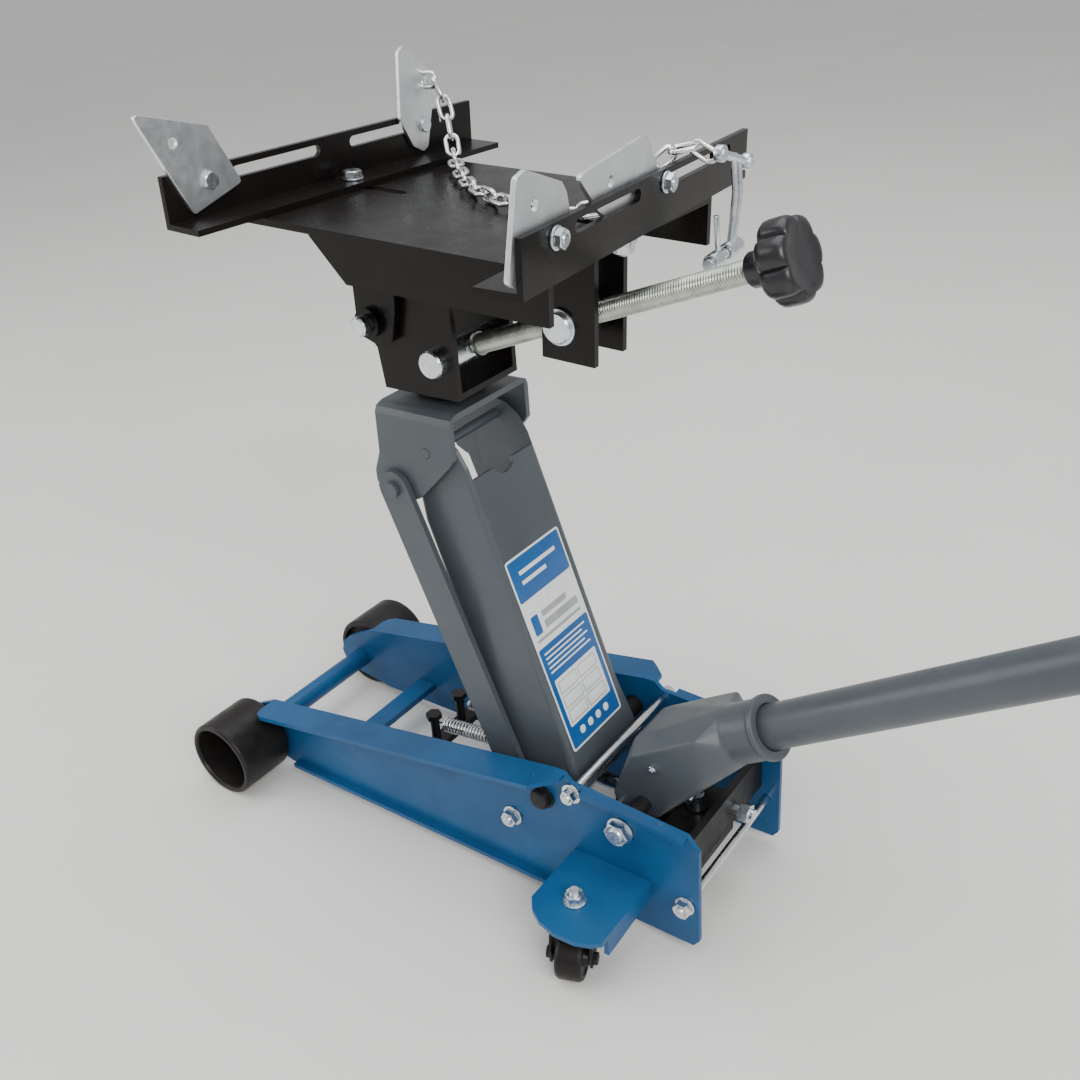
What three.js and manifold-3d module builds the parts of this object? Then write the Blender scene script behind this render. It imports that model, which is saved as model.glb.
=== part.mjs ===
// Transmission jack: a long trolley jack with a parallelogram lift arm, and on its head a
// tilting adapter with two slotted angle brackets, corner plates and a holding chain.
// Millimetres, +Z up, +X towards the handle. The near side is -Y.
import * as THREE from 'three';
import { mergeVertices } from 'three/addons/utils/BufferGeometryUtils.js';
import Module from 'manifold-3d';

const wasm = await Module();
wasm.setup();

// ---------------------------------------------------------------- driving dimensions
const GAP = 0.3;                         // clearance between touching pieces
const ROD_SIDES = 12;                    // sides of a small round bar
const BORE_SIDES = 16;                   // sides of a round hole

const PLATE = { inner: 83, outer: 88 };  // chassis side plates, distances from the middle
const FLANGE = { outer: 118, narrow: 96, thick: 5 };
const FRONT_AXLE = { x: 25, z: 45, r: 8 };
const WHEEL = { r: 45, inner: 92, width: 66, hubDepth: 30 };
const ARM_PIVOT = { x: 436, z: 122 };
const HEAD_PIVOT = { x: 312, z: 450 };
const LINK_OFFSET = { x: -40, z: -42 };  // from each arm pivot to the link bar's pivot
const LINK_HALF = 18;                    // half a link bar's width
const UPPER_ROD = { x: 471, z: 141 };
const LOWER_ROD = { x: 592, z: 60 };
const YOKE_PIVOT = { x: 524, z: 120 };
const CASTER = { x: 508, y: 146, plateZ: 66, trail: 20, wheelR: 23 };
const CASTER_YAW = { near: -70, far: 30 };            // degrees from +X at rest

const ARM = { half: 51, sheet: 5, hubR: 14.5, shaftR: 10.5 };
const CRANK = { length: 42, angle: 242, rollerR: 9 };  // angle in degrees from +X
const RAM = { z: 85, r: 8, cylinderR: 24 };

const HANDLE_START = { x: 636, z: 225 };
const HANDLE_ANGLE = 32;                 // degrees above level
const HANDLE = { r: 21, bore: 18.5, from: -65, to: 826 };
const SOCKET = { r: 28.5, from: -72, to: -4 };

const TILT_PIVOT = { x: 259, z: 565 };   // table's tilt axis
const SCREW_PIVOT = { x: 324, z: 534 };  // lower trunnion, in the adapter yoke
const NUT_PIVOT = { x: 446, z: 577.4 };  // upper trunnion, in the table's clevis
const TABLE_SLOPE = 2.86;                // degrees, rear edge down at rest
const TABLE = { front: 190, rear: 503, half: 122, top: 668, sheet: 6 };
const SWIVEL_X = 300;
const SCREW_R = 9.5;
const BRACKET = { half: 187, leg: 40, height: 42, sheet: 5, slotZ: 32 };
const FRONT_BRACKET = { x: 182, bolt: 205, yaw: -2.3 };
const REAR_BRACKET = { x: 514, bolt: 490, yaw: 4 };

// ---------------------------------------------------------------- solids
const X_AXIS = new THREE.Vector3(1, 0, 0);
const Y_AXIS = new THREE.Vector3(0, 1, 0);
const Z_AXIS = new THREE.Vector3(0, 0, 1);

function toSolid(geometry) {
  geometry.deleteAttribute('normal');
  geometry.deleteAttribute('uv');
  const welded = mergeVertices(geometry, 1e-4);
  const mesh = new wasm.Mesh({
    numProp: 3,
    vertProperties: Float32Array.from(welded.attributes.position.array),
    triVerts: Uint32Array.from(welded.index.array),
  });
  return new wasm.Manifold(mesh);
}

function union(first, ...others) {
  return others.reduce((sum, solid) => sum.add(solid), first);
}

function cut(first, ...others) {
  return others.reduce((rest, solid) => rest.subtract(solid), first);
}

function shapeOf(points, holes = []) {
  const shape = new THREE.Shape(points.map(([u, v]) => new THREE.Vector2(u, v)));
  for (const hole of holes) {
    shape.holes.push(new THREE.Path().absarc(hole.u, hole.v, hole.r, 0, 2 * Math.PI));
  }
  return shape;
}

// A flat outline extruded along w. The frame's columns are the directions of u, v and w.
function prism(points, w0, w1, u, v, holes = []) {
  const geometry = new THREE.ExtrudeGeometry(shapeOf(points, holes), {
    depth: w1 - w0,
    bevelEnabled: false,
    curveSegments: BORE_SIDES / 2,
  });
  geometry.translate(0, 0, w0);
  const w = new THREE.Vector3().crossVectors(u, v);
  geometry.applyMatrix4(new THREE.Matrix4().makeBasis(u, v, w));
  return toSolid(geometry);
}

// An outline in X and Z between two Y values.
function plateXZ(points, y0, y1, holes = []) {
  const round = holes.map(({ x, z, r }) => ({ u: x, v: z, r }));
  return prism(points, -y1, -y0, X_AXIS, Z_AXIS, round);
}

function plateXY(points, z0, z1, holes = []) {
  return prism(points, z0, z1, X_AXIS, Y_AXIS, holes);
}

function plateYZ(points, x0, x1, holes = []) {
  return prism(points, x0, x1, Y_AXIS, Z_AXIS, holes);
}

function box(x0, x1, y0, y1, z0, z1) {
  const geometry = new THREE.BoxGeometry(x1 - x0, y1 - y0, z1 - z0);
  geometry.translate((x0 + x1) / 2, (y0 + y1) / 2, (z0 + z1) / 2);
  return toSolid(geometry);
}

// A round or six-sided bar from start to end along a unit direction.
function bar(origin, direction, start, end, r, sides = ROD_SIDES) {
  const geometry = new THREE.CylinderGeometry(r, r, end - start, sides);
  const turn = new THREE.Quaternion().setFromUnitVectors(Y_AXIS, direction);
  geometry.applyQuaternion(turn);
  const middle = direction.clone().multiplyScalar((start + end) / 2).add(origin);
  geometry.translate(middle.x, middle.y, middle.z);
  return toSolid(geometry);
}

function rodY(at, r, y0, y1, sides = ROD_SIDES) {
  return bar(new THREE.Vector3(at.x, 0, at.z), Y_AXIS, y0, y1, r, sides);
}

function rodZ(x, y, r, z0, z1, sides = ROD_SIDES) {
  return bar(new THREE.Vector3(x, y, 0), Z_AXIS, z0, z1, r, sides);
}

function rodX(y, z, r, x0, x1, sides = ROD_SIDES) {
  return bar(new THREE.Vector3(0, y, z), X_AXIS, x0, x1, r, sides);
}

// A stadium outline around two points.
function slotOutline([u0, v0], [u1, v1], r, steps = 4) {
  const angle = Math.atan2(v1 - v0, u1 - u0);
  const points = [];
  for (let i = 0; i <= steps; i += 1) {
    const turn = angle + Math.PI / 2 + (Math.PI * i) / steps;
    points.push([u0 + r * Math.cos(turn), v0 + r * Math.sin(turn)]);
  }
  for (let i = 0; i <= steps; i += 1) {
    const turn = angle - Math.PI / 2 + (Math.PI * i) / steps;
    points.push([u1 + r * Math.cos(turn), v1 + r * Math.sin(turn)]);
  }
  return points;
}

function moved(solid, matrix) {
  return solid.transform(matrix.elements.slice());
}

function turnedAbout(solid, axis, degrees, x, y, z) {
  const matrix = new THREE.Matrix4().makeTranslation(x, y, z);
  matrix.multiply(new THREE.Matrix4().makeRotationAxis(axis, THREE.MathUtils.degToRad(degrees)));
  matrix.multiply(new THREE.Matrix4().makeTranslation(-x, -y, -z));
  return moved(solid, matrix);
}

// Runs a builder for the near side (-1) and the far side (+1).
function bothSides(build) {
  build(-1, 'near');
  build(1, 'far');
}

// Orders two distances from the middle as Y values on one side.
function ySpan(side, a, b) {
  return side < 0 ? [-b, -a] : [a, b];
}

// ---------------------------------------------------------------- materials and scene
const PAINT = {
  blue: { color: 0x1b6096, roughness: 0.42, metalness: 0.1 },
  grey: { color: 0x4c5157, roughness: 0.45, metalness: 0.15 },
  black: { color: 0x17130f, roughness: 0.25, metalness: 0.2 },
  zinc: { color: 0xb9c0c6, roughness: 0.3, metalness: 0.9 },
  darkMetal: { color: 0x1f1f20, roughness: 0.5, metalness: 0.4 },
  plastic: { color: 0x141416, roughness: 0.3, metalness: 0 },
  rubber: { color: 0x1b1b1c, roughness: 0.8, metalness: 0 },
};

const jack = new THREE.Group();
jack.name = 'transmission_jack';
const groups = {};

function group(name, parent = jack) {
  groups[name] = new THREE.Group();
  groups[name].name = name;
  parent.add(groups[name]);
  return groups[name];
}

function add(parent, name, solid, paint) {
  const { vertProperties, triVerts } = solid.getMesh();
  const indexed = new THREE.BufferGeometry();
  indexed.setAttribute('position', new THREE.BufferAttribute(vertProperties, 3));
  indexed.setIndex(new THREE.BufferAttribute(triVerts, 1));
  const flat = indexed.toNonIndexed();
  flat.computeVertexNormals();
  const mesh = new THREE.Mesh(flat, new THREE.MeshStandardMaterial(PAINT[paint]));
  mesh.name = name;
  parent.add(mesh);
}

// ---------------------------------------------------------------- chassis
const chassis = group('chassis');
const LINK_PIVOT = { x: ARM_PIVOT.x + LINK_OFFSET.x, z: ARM_PIVOT.z + LINK_OFFSET.z };
const SPRING_LUG = { x: 466, yokeX: 497, z: 110, r: 3, reach: 60 };

const WEB_OUTLINE = [
  [-6, 32], [20, 20], [70, 12], [600, 12], [606, 20], [606, 130], [594, 144],
  [470, 152], [462, 160], [450, 160], [48, 92], [24, 80], [6, 70], [-6, 58], [-10, 45],
];
const FLANGE_PROFILE = [[48, 87], [450, 155], [462, 155], [462, 160], [450, 160], [48, 92]];

function sidePlate(side) {
  const [y0, y1] = ySpan(side, PLATE.inner, PLATE.outer);
  const web = plateXZ(WEB_OUTLINE, y0, y1, [
    { ...FRONT_AXLE, r: FRONT_AXLE.r + GAP },
    { ...ARM_PIVOT, r: ARM.shaftR + GAP },
    { ...LINK_PIVOT, r: 5 + GAP },
    { ...UPPER_ROD, r: 4.5 + GAP },
    { ...LOWER_ROD, r: 4 + GAP },
    { ...YOKE_PIVOT, r: 8 + GAP },
  ]);
  const [f0, f1] = ySpan(side, PLATE.outer - 1, FLANGE.outer);
  const band = plateXZ(FLANGE_PROFILE, f0, f1);
  const plan = [
    [48, side * (PLATE.outer - 1)], [48, side * 106], [52, side * 114], [60, side * FLANGE.outer],
    [440, side * FLANGE.outer], [462, side * 98], [462, side * (PLATE.outer - 1)],
  ];
  const trim = plateXY(side < 0 ? plan.reverse() : plan, 80, 170);
  const [n0, n1] = ySpan(side, PLATE.outer - 1, FLANGE.narrow);
  const rearBand = plateXZ([[484, 146], [594, 139], [594, 144], [484, 151]], n0, n1);
  const foot = box(75, 450, n0, n1, 12, 17);
  const [l0, l1] = ySpan(side, SPRING_LUG.reach - 6, PLATE.inner + 1);
  const lug = rodY(SPRING_LUG, SPRING_LUG.r, l0, l1, 8);
  return union(web, band.intersect(trim), rearBand, foot, lug);
}

function nutAndWasher(at, boreR, hexR, side, from) {
  const [w0, w1] = ySpan(side, from + GAP, from + 3);
  const [h0, h1] = ySpan(side, from + 2.5, from + 11);
  return union(rodY(at, boreR + 6, w0, w1), rodY(at, hexR, h0, h1, 6));
}

function tieRod(at, r, hexR) {
  const reach = PLATE.outer + 13;
  return union(
    rodY(at, r, -reach, reach),
    nutAndWasher(at, r, hexR, -1, PLATE.outer),
    nutAndWasher(at, r, hexR, 1, PLATE.outer),
  );
}

bothSides((side, name) => {
  add(chassis, `side_plate_${name}`, sidePlate(side), 'blue');
});

const spacerReach = PLATE.inner - GAP;
add(
  chassis,
  'front_spacer_tube',
  cut(
    rodY(FRONT_AXLE, 12, -spacerReach, spacerReach),
    rodY(FRONT_AXLE, FRONT_AXLE.r + GAP, -spacerReach - 1, spacerReach + 1),
  ),
  'blue',
);

const axleEnd = WHEEL.inner + WHEEL.hubDepth;
add(
  chassis,
  'front_axle',
  union(
    rodY(FRONT_AXLE, FRONT_AXLE.r, -axleEnd - 13, axleEnd + 13),
    nutAndWasher(FRONT_AXLE, FRONT_AXLE.r, 13, -1, axleEnd),
    nutAndWasher(FRONT_AXLE, FRONT_AXLE.r, 13, 1, axleEnd),
  ),
  'zinc',
);
add(chassis, 'cross_bar', box(122, 146, -spacerReach, spacerReach, 36, 44), 'blue');
add(chassis, 'upper_tie_rod', tieRod(UPPER_ROD, 4.5, 8), 'zinc');
add(chassis, 'lower_tie_rod', tieRod(LOWER_ROD, 4, 9), 'zinc');
add(chassis, 'arm_pivot_shaft', rodY(ARM_PIVOT, ARM.shaftR, -98, 98, 24), 'darkMetal');
add(chassis, 'yoke_pivot_shaft', tieRod(YOKE_PIVOT, 8, 13), 'zinc');

// Springs that pull on the lift arm, and the bar with their two posts.
const SPRING_POST = { x: 240, y: 22, top: 104 };
const SPRING_PIN = { x: 398, z: 118 };
const RETURN_SPRING_R = 8.5;
add(
  chassis,
  'spring_anchor_bar',
  union(
    box(232, 250, -spacerReach, spacerReach, 60, 68),
    ...[-1, 1].flatMap((side) => [
      rodZ(SPRING_POST.x, side * SPRING_POST.y, 5, 67, SPRING_POST.top, 8),
      rodZ(SPRING_POST.x, side * SPRING_POST.y, 9, SPRING_POST.top - 6, SPRING_POST.top, 6),
    ]),
  ),
  'darkMetal',
);

function tensionSpring(from, to, r) {
  const span = new THREE.Vector3().subVectors(to, from);
  const length = span.length();
  return bar(from, span.normalize(), 0, length, r, 8);
}

bothSides((side, name) => {
  const from = new THREE.Vector3(SPRING_POST.x + 12, side * SPRING_POST.y, 94);
  const to = new THREE.Vector3(SPRING_PIN.x - 8, side * 28, SPRING_PIN.z - 2);
  add(chassis, `return_spring_${name}`, tensionSpring(from, to, RETURN_SPRING_R), 'zinc');
  const lug = new THREE.Vector3(SPRING_LUG.x + 4, side * 57, SPRING_LUG.z);
  const hook = new THREE.Vector3(SPRING_LUG.yokeX - 4, side * 57, SPRING_LUG.z);
  add(chassis, `handle_spring_${name}`, tensionSpring(lug, hook, 5.5), 'zinc');
});

// Lower bolts of the two link bars.
bothSides((side, name) => {
  const shank = ySpan(side, 57, 101);
  const head = ySpan(side, 57, 60.6);
  const spacer = ySpan(side, 67.4, PLATE.inner - GAP);
  add(
    chassis,
    `link_bolt_${name}`,
    union(
      rodY(LINK_PIVOT, 5, ...shank),
      rodY(LINK_PIVOT, 8, ...head),
      rodY(LINK_PIVOT, 9, ...spacer),
      nutAndWasher(LINK_PIVOT, 5, 9, side, PLATE.outer),
    ),
    'zinc',
  );
});

// Hydraulic unit.
const BLOCK = { front: 540, rear: 578, half: 36, bottom: 50, top: 96 };
const PUMP = { x: 556, r: 5, pinR: 5 };
const VALVE = { y: 24, z: 88, r: 6 };
add(
  chassis,
  'hydraulic_unit',
  cut(
    union(
      rodX(0, RAM.z, RAM.cylinderR, 478, BLOCK.front + 1),
      rodX(0, RAM.z, RAM.cylinderR + 2, 478, 490),
      box(BLOCK.front, BLOCK.rear, -BLOCK.half, BLOCK.half, BLOCK.bottom, BLOCK.top),
      rodZ(PUMP.x, 0, 11, BLOCK.top - 1, BLOCK.top + 2),
    ),
    rodX(0, RAM.z, RAM.r + GAP, 477, BLOCK.front),
    rodZ(PUMP.x, 0, PUMP.r + GAP, 64, BLOCK.top + 4),
    rodX(VALVE.y, VALVE.z, VALVE.r + GAP, 560, BLOCK.rear + 1),
  ),
  'darkMetal',
);
add(
  chassis,
  'rear_mount_plate',
  plateYZ(
    [
      [-spacerReach, 74], [spacerReach, 74], [spacerReach, 114], [-spacerReach, 114],
    ],
    BLOCK.rear + GAP,
    BLOCK.rear + 8,
    [{ u: VALVE.y, v: VALVE.z, r: VALVE.r + GAP }],
  ),
  'darkMetal',
);

// ---------------------------------------------------------------- wheels and casters
const WHEEL_PROFILE = [
  [8.4, 4], [16, 4], [16, 10], [38, 10], [38, 0], [43, 0], [45, 3], [45, 63], [43, 66],
  [39, 66], [37.5, 63], [37.5, WHEEL.hubDepth], [8.4, WHEEL.hubDepth], [8.4, 4],
];

bothSides((side, name) => {
  const points = WHEEL_PROFILE.map(([r, y]) => new THREE.Vector2(r, y));
  const geometry = new THREE.LatheGeometry(points, 24);
  if (side < 0) geometry.rotateZ(Math.PI);
  geometry.translate(FRONT_AXLE.x, side * WHEEL.inner, FRONT_AXLE.z);
  add(group(`front_wheel_body_${name}`), `front_wheel_${name}`, toSolid(geometry), 'plastic');
});

function casterBracket(side) {
  const outline = [
    [470, 87], [470, 162], [479, 174], [493, 183], [512, 188], [534, 187], [548, 182], [556, 175],
    [556, 87],
  ].map(([x, y]) => [x, side * y]);
  const plan = side < 0 ? outline.reverse() : outline;
  const hole = { u: CASTER.x, v: side * CASTER.y, r: STEM.r + GAP };
  const shelf = plateXY(plan, CASTER.plateZ, CASTER.plateZ + 5, [hole]);
  const [t0, t1] = ySpan(side, PLATE.outer + GAP, 165);
  const tab = plateYZ([[t0, 46], [t1, 52], [t1, 70], [t0, 70]], 551, 556);
  const [c0, c1] = ySpan(side, 80, PLATE.outer + GAP);
  return cut(union(shelf, tab), box(460, 560, c0, c1, 40, 80));
}

const STEM = { r: 5, foot: 53, raceR: 38, raceZ: 59.5, washerR: 11, nutR: 9.5 };

// A fixed bolt through the shelf, with the ball race's dish clamped under the shelf.
function casterStem(side) {
  const y = side * CASTER.y;
  const top = CASTER.plateZ + 5;
  return union(
    rodZ(CASTER.x, y, STEM.r, STEM.foot, top + 15),
    rodZ(CASTER.x, y, STEM.raceR, STEM.raceZ, CASTER.plateZ - GAP, 24),
    rodZ(CASTER.x, y, STEM.washerR, top + GAP, top + 3),
    rodZ(CASTER.x, y, STEM.nutR, top + 2.5, top + 11, 6),
  );
}

const FORK = { inner: 18, outer: 20.5, discR: 33, axleR: 3, headR: 6, headProud: 4 };

// The fork and the wheel are built at the origin, trailing towards +X, then placed.
function placeCaster(solid, side, yaw) {
  const matrix = new THREE.Matrix4().makeTranslation(CASTER.x, side * CASTER.y, 0);
  matrix.multiply(new THREE.Matrix4().makeRotationZ(THREE.MathUtils.degToRad(yaw)));
  return moved(solid, matrix);
}

function casterFork() {
  const axle = { x: CASTER.trail, z: CASTER.wheelR };
  const legOutline = [[-17, 56], [19, 56], [29, 32], [27, 17], [14, 14], [2, 32]];
  return cut(
    union(
      rodZ(0, 0, FORK.discR, STEM.foot + 1, STEM.raceZ - GAP, 24),
      plateXZ(legOutline, FORK.inner, FORK.outer),
      plateXZ(legOutline, -FORK.outer, -FORK.inner),
      rodY(axle, FORK.axleR, -FORK.outer - 2, FORK.outer + 2, 8),
      rodY(axle, FORK.headR, FORK.outer - 0.5, FORK.outer + FORK.headProud, 6),
      rodY(axle, FORK.headR, -FORK.outer - FORK.headProud, -FORK.outer + 0.5, 6),
    ),
    rodZ(0, 0, STEM.r + GAP, STEM.foot - 3, STEM.raceZ + 3),
  );
}

function casterWheel() {
  const points = [
    [3.3, -16.5], [8, -16.5], [8, -13], [21, -13], [23, -10], [23, 10], [21, 13], [8, 13],
    [8, 16.5], [3.3, 16.5], [3.3, -16.5],
  ].map(([r, y]) => new THREE.Vector2(r, y));
  const geometry = new THREE.LatheGeometry(points, 18);
  geometry.translate(CASTER.trail, 0, CASTER.wheelR);
  return toSolid(geometry);
}

bothSides((side, name) => {
  const yaw = CASTER_YAW[name];
  add(chassis, `caster_bracket_${name}`, casterBracket(side), 'blue');
  add(chassis, `caster_stem_${name}`, casterStem(side), 'zinc');
  const fork = group(`caster_fork_body_${name}`);
  add(fork, `caster_fork_${name}`, placeCaster(casterFork(), side, yaw), 'darkMetal');
  const wheel = group(`caster_wheel_body_${name}`);
  add(wheel, `caster_wheel_${name}`, placeCaster(casterWheel(), side, yaw), 'plastic');
});

// ---------------------------------------------------------------- lift arm
const arm = group('lift_arm');
const ARM_SIDE = [
  [462, 108], [350, 437], [340, 454], [326, 464], [310, 467], [298, 461], [289, 446],
  [286, 420], [291, 372], [376, 108], [392, 97], [440, 98],
];
const ARM_FOOT = new THREE.Vector3(462, 0, 108);
const ARM_TOP = new THREE.Vector3(350, 0, 437);

function armChannel() {
  const along = new THREE.Vector3().subVectors(ARM_TOP, ARM_FOOT);
  const webTop = along.length() - 12;
  along.normalize();
  const half = ARM.half;
  const web = prism(
    [
      [-62, 0], [62, 0], [60, 30], [half, 95], [half, webTop], [18, webTop], [14, webTop - 7],
      [7, webTop - 9], [-7, webTop - 9], [-14, webTop - 7], [-18, webTop], [-half, webTop],
      [-half, 95], [-60, 30],
    ],
    -ARM.sheet,
    0,
    Y_AXIS,
    along,
  );
  const footing = new THREE.Matrix4().makeTranslation(ARM_FOOT.x, 0, ARM_FOOT.z);
  const cheek = (side) => plateXZ(ARM_SIDE, ...ySpan(side, half - ARM.sheet, half));
  const pinReach = half - 1;
  return cut(
    union(
      moved(web, footing),
      cheek(-1),
      cheek(1),
      rodY(SPRING_PIN, 5, -pinReach, pinReach),
    ),
    rodY(ARM_PIVOT, ARM.shaftR + GAP, -60, 60, BORE_SIDES),
    rodY(HEAD_PIVOT, 5 + GAP, -60, 60),
  );
}

function polar(center, degrees, length) {
  const angle = THREE.MathUtils.degToRad(degrees);
  return { x: center.x + length * Math.cos(angle), z: center.z + length * Math.sin(angle) };
}

const CRANK_END = polar(ARM_PIVOT, CRANK.angle, CRANK.length);

function armCrank() {
  const inner = ARM.half - ARM.sheet - GAP;
  const outline = slotOutline([ARM_PIVOT.x, ARM_PIVOT.z], [CRANK_END.x, CRANK_END.z], 7.5);
  return cut(
    union(
      rodY(ARM_PIVOT, ARM.hubR, -inner, inner, 24),
      plateXZ(outline, -15, -9),
      plateXZ(outline, 9, 15),
      rodY(CRANK_END, CRANK.rollerR, -9.5, 9.5),
    ),
    rodY(ARM_PIVOT, ARM.shaftR + 2 * GAP, -60, 60, 24),
  );
}

add(arm, 'arm_channel', armChannel(), 'grey');
add(arm, 'arm_crank_hub', armCrank(), 'darkMetal');

// Ram piston: a pad that pushes the crank roller, on a rod that runs in the cylinder.
const ram = group('ram');
const padFace = CRANK_END.x + CRANK.rollerR + 1.5;
add(
  ram,
  'ram_piston',
  union(
    box(padFace, padFace + 6, -8.3, 8.3, 66, 98),
    rodX(0, RAM.z, RAM.r, padFace + 5, 492),
  ),
  'zinc',
);

// ---------------------------------------------------------------- head and link bars
const head = group('head');
const HEAD_LINK = { x: HEAD_PIVOT.x + LINK_OFFSET.x, z: HEAD_PIVOT.z + LINK_OFFSET.z };
const HEAD = { inner: 54, outer: 60, top: 490, sheet: 6, front: 256, rear: 344 };
const EAR_OUTLINE = [
  [256, 490], [254, 440], [246, 420], [246, 409], [252, 400], [264, 394], [284, 394], [300, 402],
  [338, 440], [344, 448], [344, 490],
];

function linkPin(side) {
  const shank = ySpan(side, HEAD.inner, 71);
  const cap = ySpan(side, 67.5, 71.5);
  return union(rodY(HEAD_LINK, 5, ...shank), rodY(HEAD_LINK, 8, ...cap));
}

const bentSheet = plateYZ(
  [
    [-60, 380], [60, 380], [60, 481], [57.7, 486.7], [52, 489], [48, 490], [-48, 490],
    [-52, 489], [-57.7, 486.7], [-60, 481],
  ],
  200,
  400,
);
const headEar = (side) => plateXZ(EAR_OUTLINE, ...ySpan(side, HEAD.inner, HEAD.outer));
add(
  head,
  'head_bracket',
  cut(
    union(
      union(
        headEar(-1),
        headEar(1),
        box(HEAD.front, HEAD.rear, -HEAD.outer, HEAD.outer, HEAD.top - HEAD.sheet, HEAD.top),
      ).intersect(bentSheet),
      linkPin(-1),
      linkPin(1),
    ),
    rodY(HEAD_PIVOT, 5 + GAP, -70, 70),
    rodZ(SWIVEL_X, 0, 12.4, 480, 495, BORE_SIDES),
  ),
  'grey',
);
add(head, 'head_pin', rodY(HEAD_PIVOT, 5, -60.5, 60.5), 'zinc');

bothSides((side, name) => {
  const outline = slotOutline([HEAD_LINK.x, HEAD_LINK.z], [LINK_PIVOT.x, LINK_PIVOT.z], LINK_HALF, 8);
  const link = plateXZ(outline, ...ySpan(side, 61, 67), [
    { ...HEAD_LINK, r: 5.6 },
    { ...LINK_PIVOT, r: 5 + GAP },
  ]);
  add(group(`link_${name}`), `link_bar_${name}`, link, 'grey');
});

// ---------------------------------------------------------------- handle
const handleAxis = new THREE.Vector3(
  Math.cos(THREE.MathUtils.degToRad(HANDLE_ANGLE)),
  0,
  Math.sin(THREE.MathUtils.degToRad(HANDLE_ANGLE)),
);
const handleStart = new THREE.Vector3(HANDLE_START.x, 0, HANDLE_START.z);

function alongHandle(from, to, r, sides = 24) {
  return bar(handleStart, handleAxis, from, to, r, sides);
}

const yoke = group('handle_yoke_body');
const YOKE = { outer: 45, inner: 39, brow: 26 };
const YOKE_CHEEK = [
  [489, 118], [493, 107], [538, 107], [544, 118], [577, 214], [543, 188], [509, 170],
];
const YOKE_BROW = [[504, 150], [530, 150], [530, 186], [510, 183], [504, 178]];
const YOKE_HOLLOW = [
  [480, 90], [575, 90], [575, 124], [540, 124], [559, 180], [548, 182], [517, 163], [509, 134],
  [480, 134],
];
const PUMP_LUG = [[546, 150], [547, 112], [562, 112], [566, 120], [571, 168], [556, 168]];

// A hood that spreads from the handle's socket to two cheeks, with two lugs for the pump's pin.
function handleYoke() {
  const hooks = [-1, 1].map((side) => {
    const hook = { x: SPRING_LUG.yokeX, z: SPRING_LUG.z };
    return rodY(hook, SPRING_LUG.r, ...ySpan(side, YOKE.inner + 1, SPRING_LUG.reach), 8);
  });
  const lugs = [-1, 1].map((side) => plateXZ(PUMP_LUG, ...ySpan(side, 13, 18)));
  const hood = wasm.Manifold.hull([
    plateXZ(YOKE_CHEEK, -YOKE.outer, YOKE.outer),
    plateXZ(YOKE_BROW, -YOKE.brow, YOKE.brow),
    alongHandle(SOCKET.from, SOCKET.from + 30, SOCKET.r),
  ]);
  const shell = cut(hood, plateXZ(YOKE_HOLLOW, -YOKE.inner, YOKE.inner));
  const pumpPin = rodY({ x: PUMP.x, z: 119 }, PUMP.pinR, -19, 19);
  return cut(
    union(shell, alongHandle(SOCKET.from, SOCKET.to, SOCKET.r), pumpPin, ...lugs, ...hooks),
    alongHandle(HANDLE.from - 1, SOCKET.to + 30, HANDLE.r + 0.4),
    rodY(YOKE_PIVOT, 8 + GAP, -60, 60),
  );
}

add(yoke, 'handle_yoke', handleYoke(), 'grey');
const handle = group('handle');
add(
  handle,
  'handle_tube',
  cut(
    alongHandle(HANDLE.from, HANDLE.to, HANDLE.r),
    alongHandle(HANDLE.from - 1, HANDLE.to + 1, HANDLE.bore),
  ),
  'grey',
);
add(
  handle,
  'handle_grip',
  cut(
    alongHandle(HANDLE.to - 130, HANDLE.to + 5, HANDLE.r + 3),
    alongHandle(HANDLE.to - 131, HANDLE.to + GAP, HANDLE.r + GAP),
  ),
  'rubber',
);

const plunger = group('pump_plunger_body');
add(
  plunger,
  'pump_plunger',
  union(rodZ(PUMP.x, 0, PUMP.r, 80, 112.6), rodZ(PUMP.x, 0, 7.5, 110, 112.6)),
  'zinc',
);

const valve = group('release_valve_body');
add(
  valve,
  'release_valve',
  union(
    rodX(VALVE.y, VALVE.z, VALVE.r, 563, 606),
    rodX(VALVE.y, VALVE.z, 10, 592, 602, 6),
  ),
  'zinc',
);

// ---------------------------------------------------------------- adapter
const adapter = group('adapter');
const ADAPTER = { half: 44, sheet: 6, base: 500 };
const ADAPTER_SIDE = [
  [259, 500], [345, 500], [345, 598], [262, 598], [243, 582], [243, 552], [255, 538],
];

const adapterSide = (side) => plateXZ(ADAPTER_SIDE, ...ySpan(side, 38, ADAPTER.half));
add(
  adapter,
  'adapter_yoke',
  cut(
    union(
      adapterSide(-1),
      adapterSide(1),
      box(259, 345, -ADAPTER.half, ADAPTER.half, ADAPTER.base, ADAPTER.base + ADAPTER.sheet),
    ),
    rodY(SCREW_PIVOT, 13 + GAP, -60, 60, BORE_SIDES),
    rodY(TILT_PIVOT, 8 + GAP, -60, 60),
  ),
  'black',
);
add(
  adapter,
  'adapter_stud',
  union(
    rodZ(SWIVEL_X, 0, 12, 468, ADAPTER.base - GAP),
    rodZ(SWIVEL_X, 0, 32, HEAD.top + GAP, ADAPTER.base - GAP, 24),
    rodZ(SWIVEL_X, 0, 19, 470, 483, 6),
  ),
  'darkMetal',
);
add(
  adapter,
  'tilt_pin',
  union(
    rodY(TILT_PIVOT, 8, -68, 68),
    rodY(TILT_PIVOT, 9, -70, -60),
    rodY(TILT_PIVOT, 9, 60, 70),
  ),
  'zinc',
);

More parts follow.
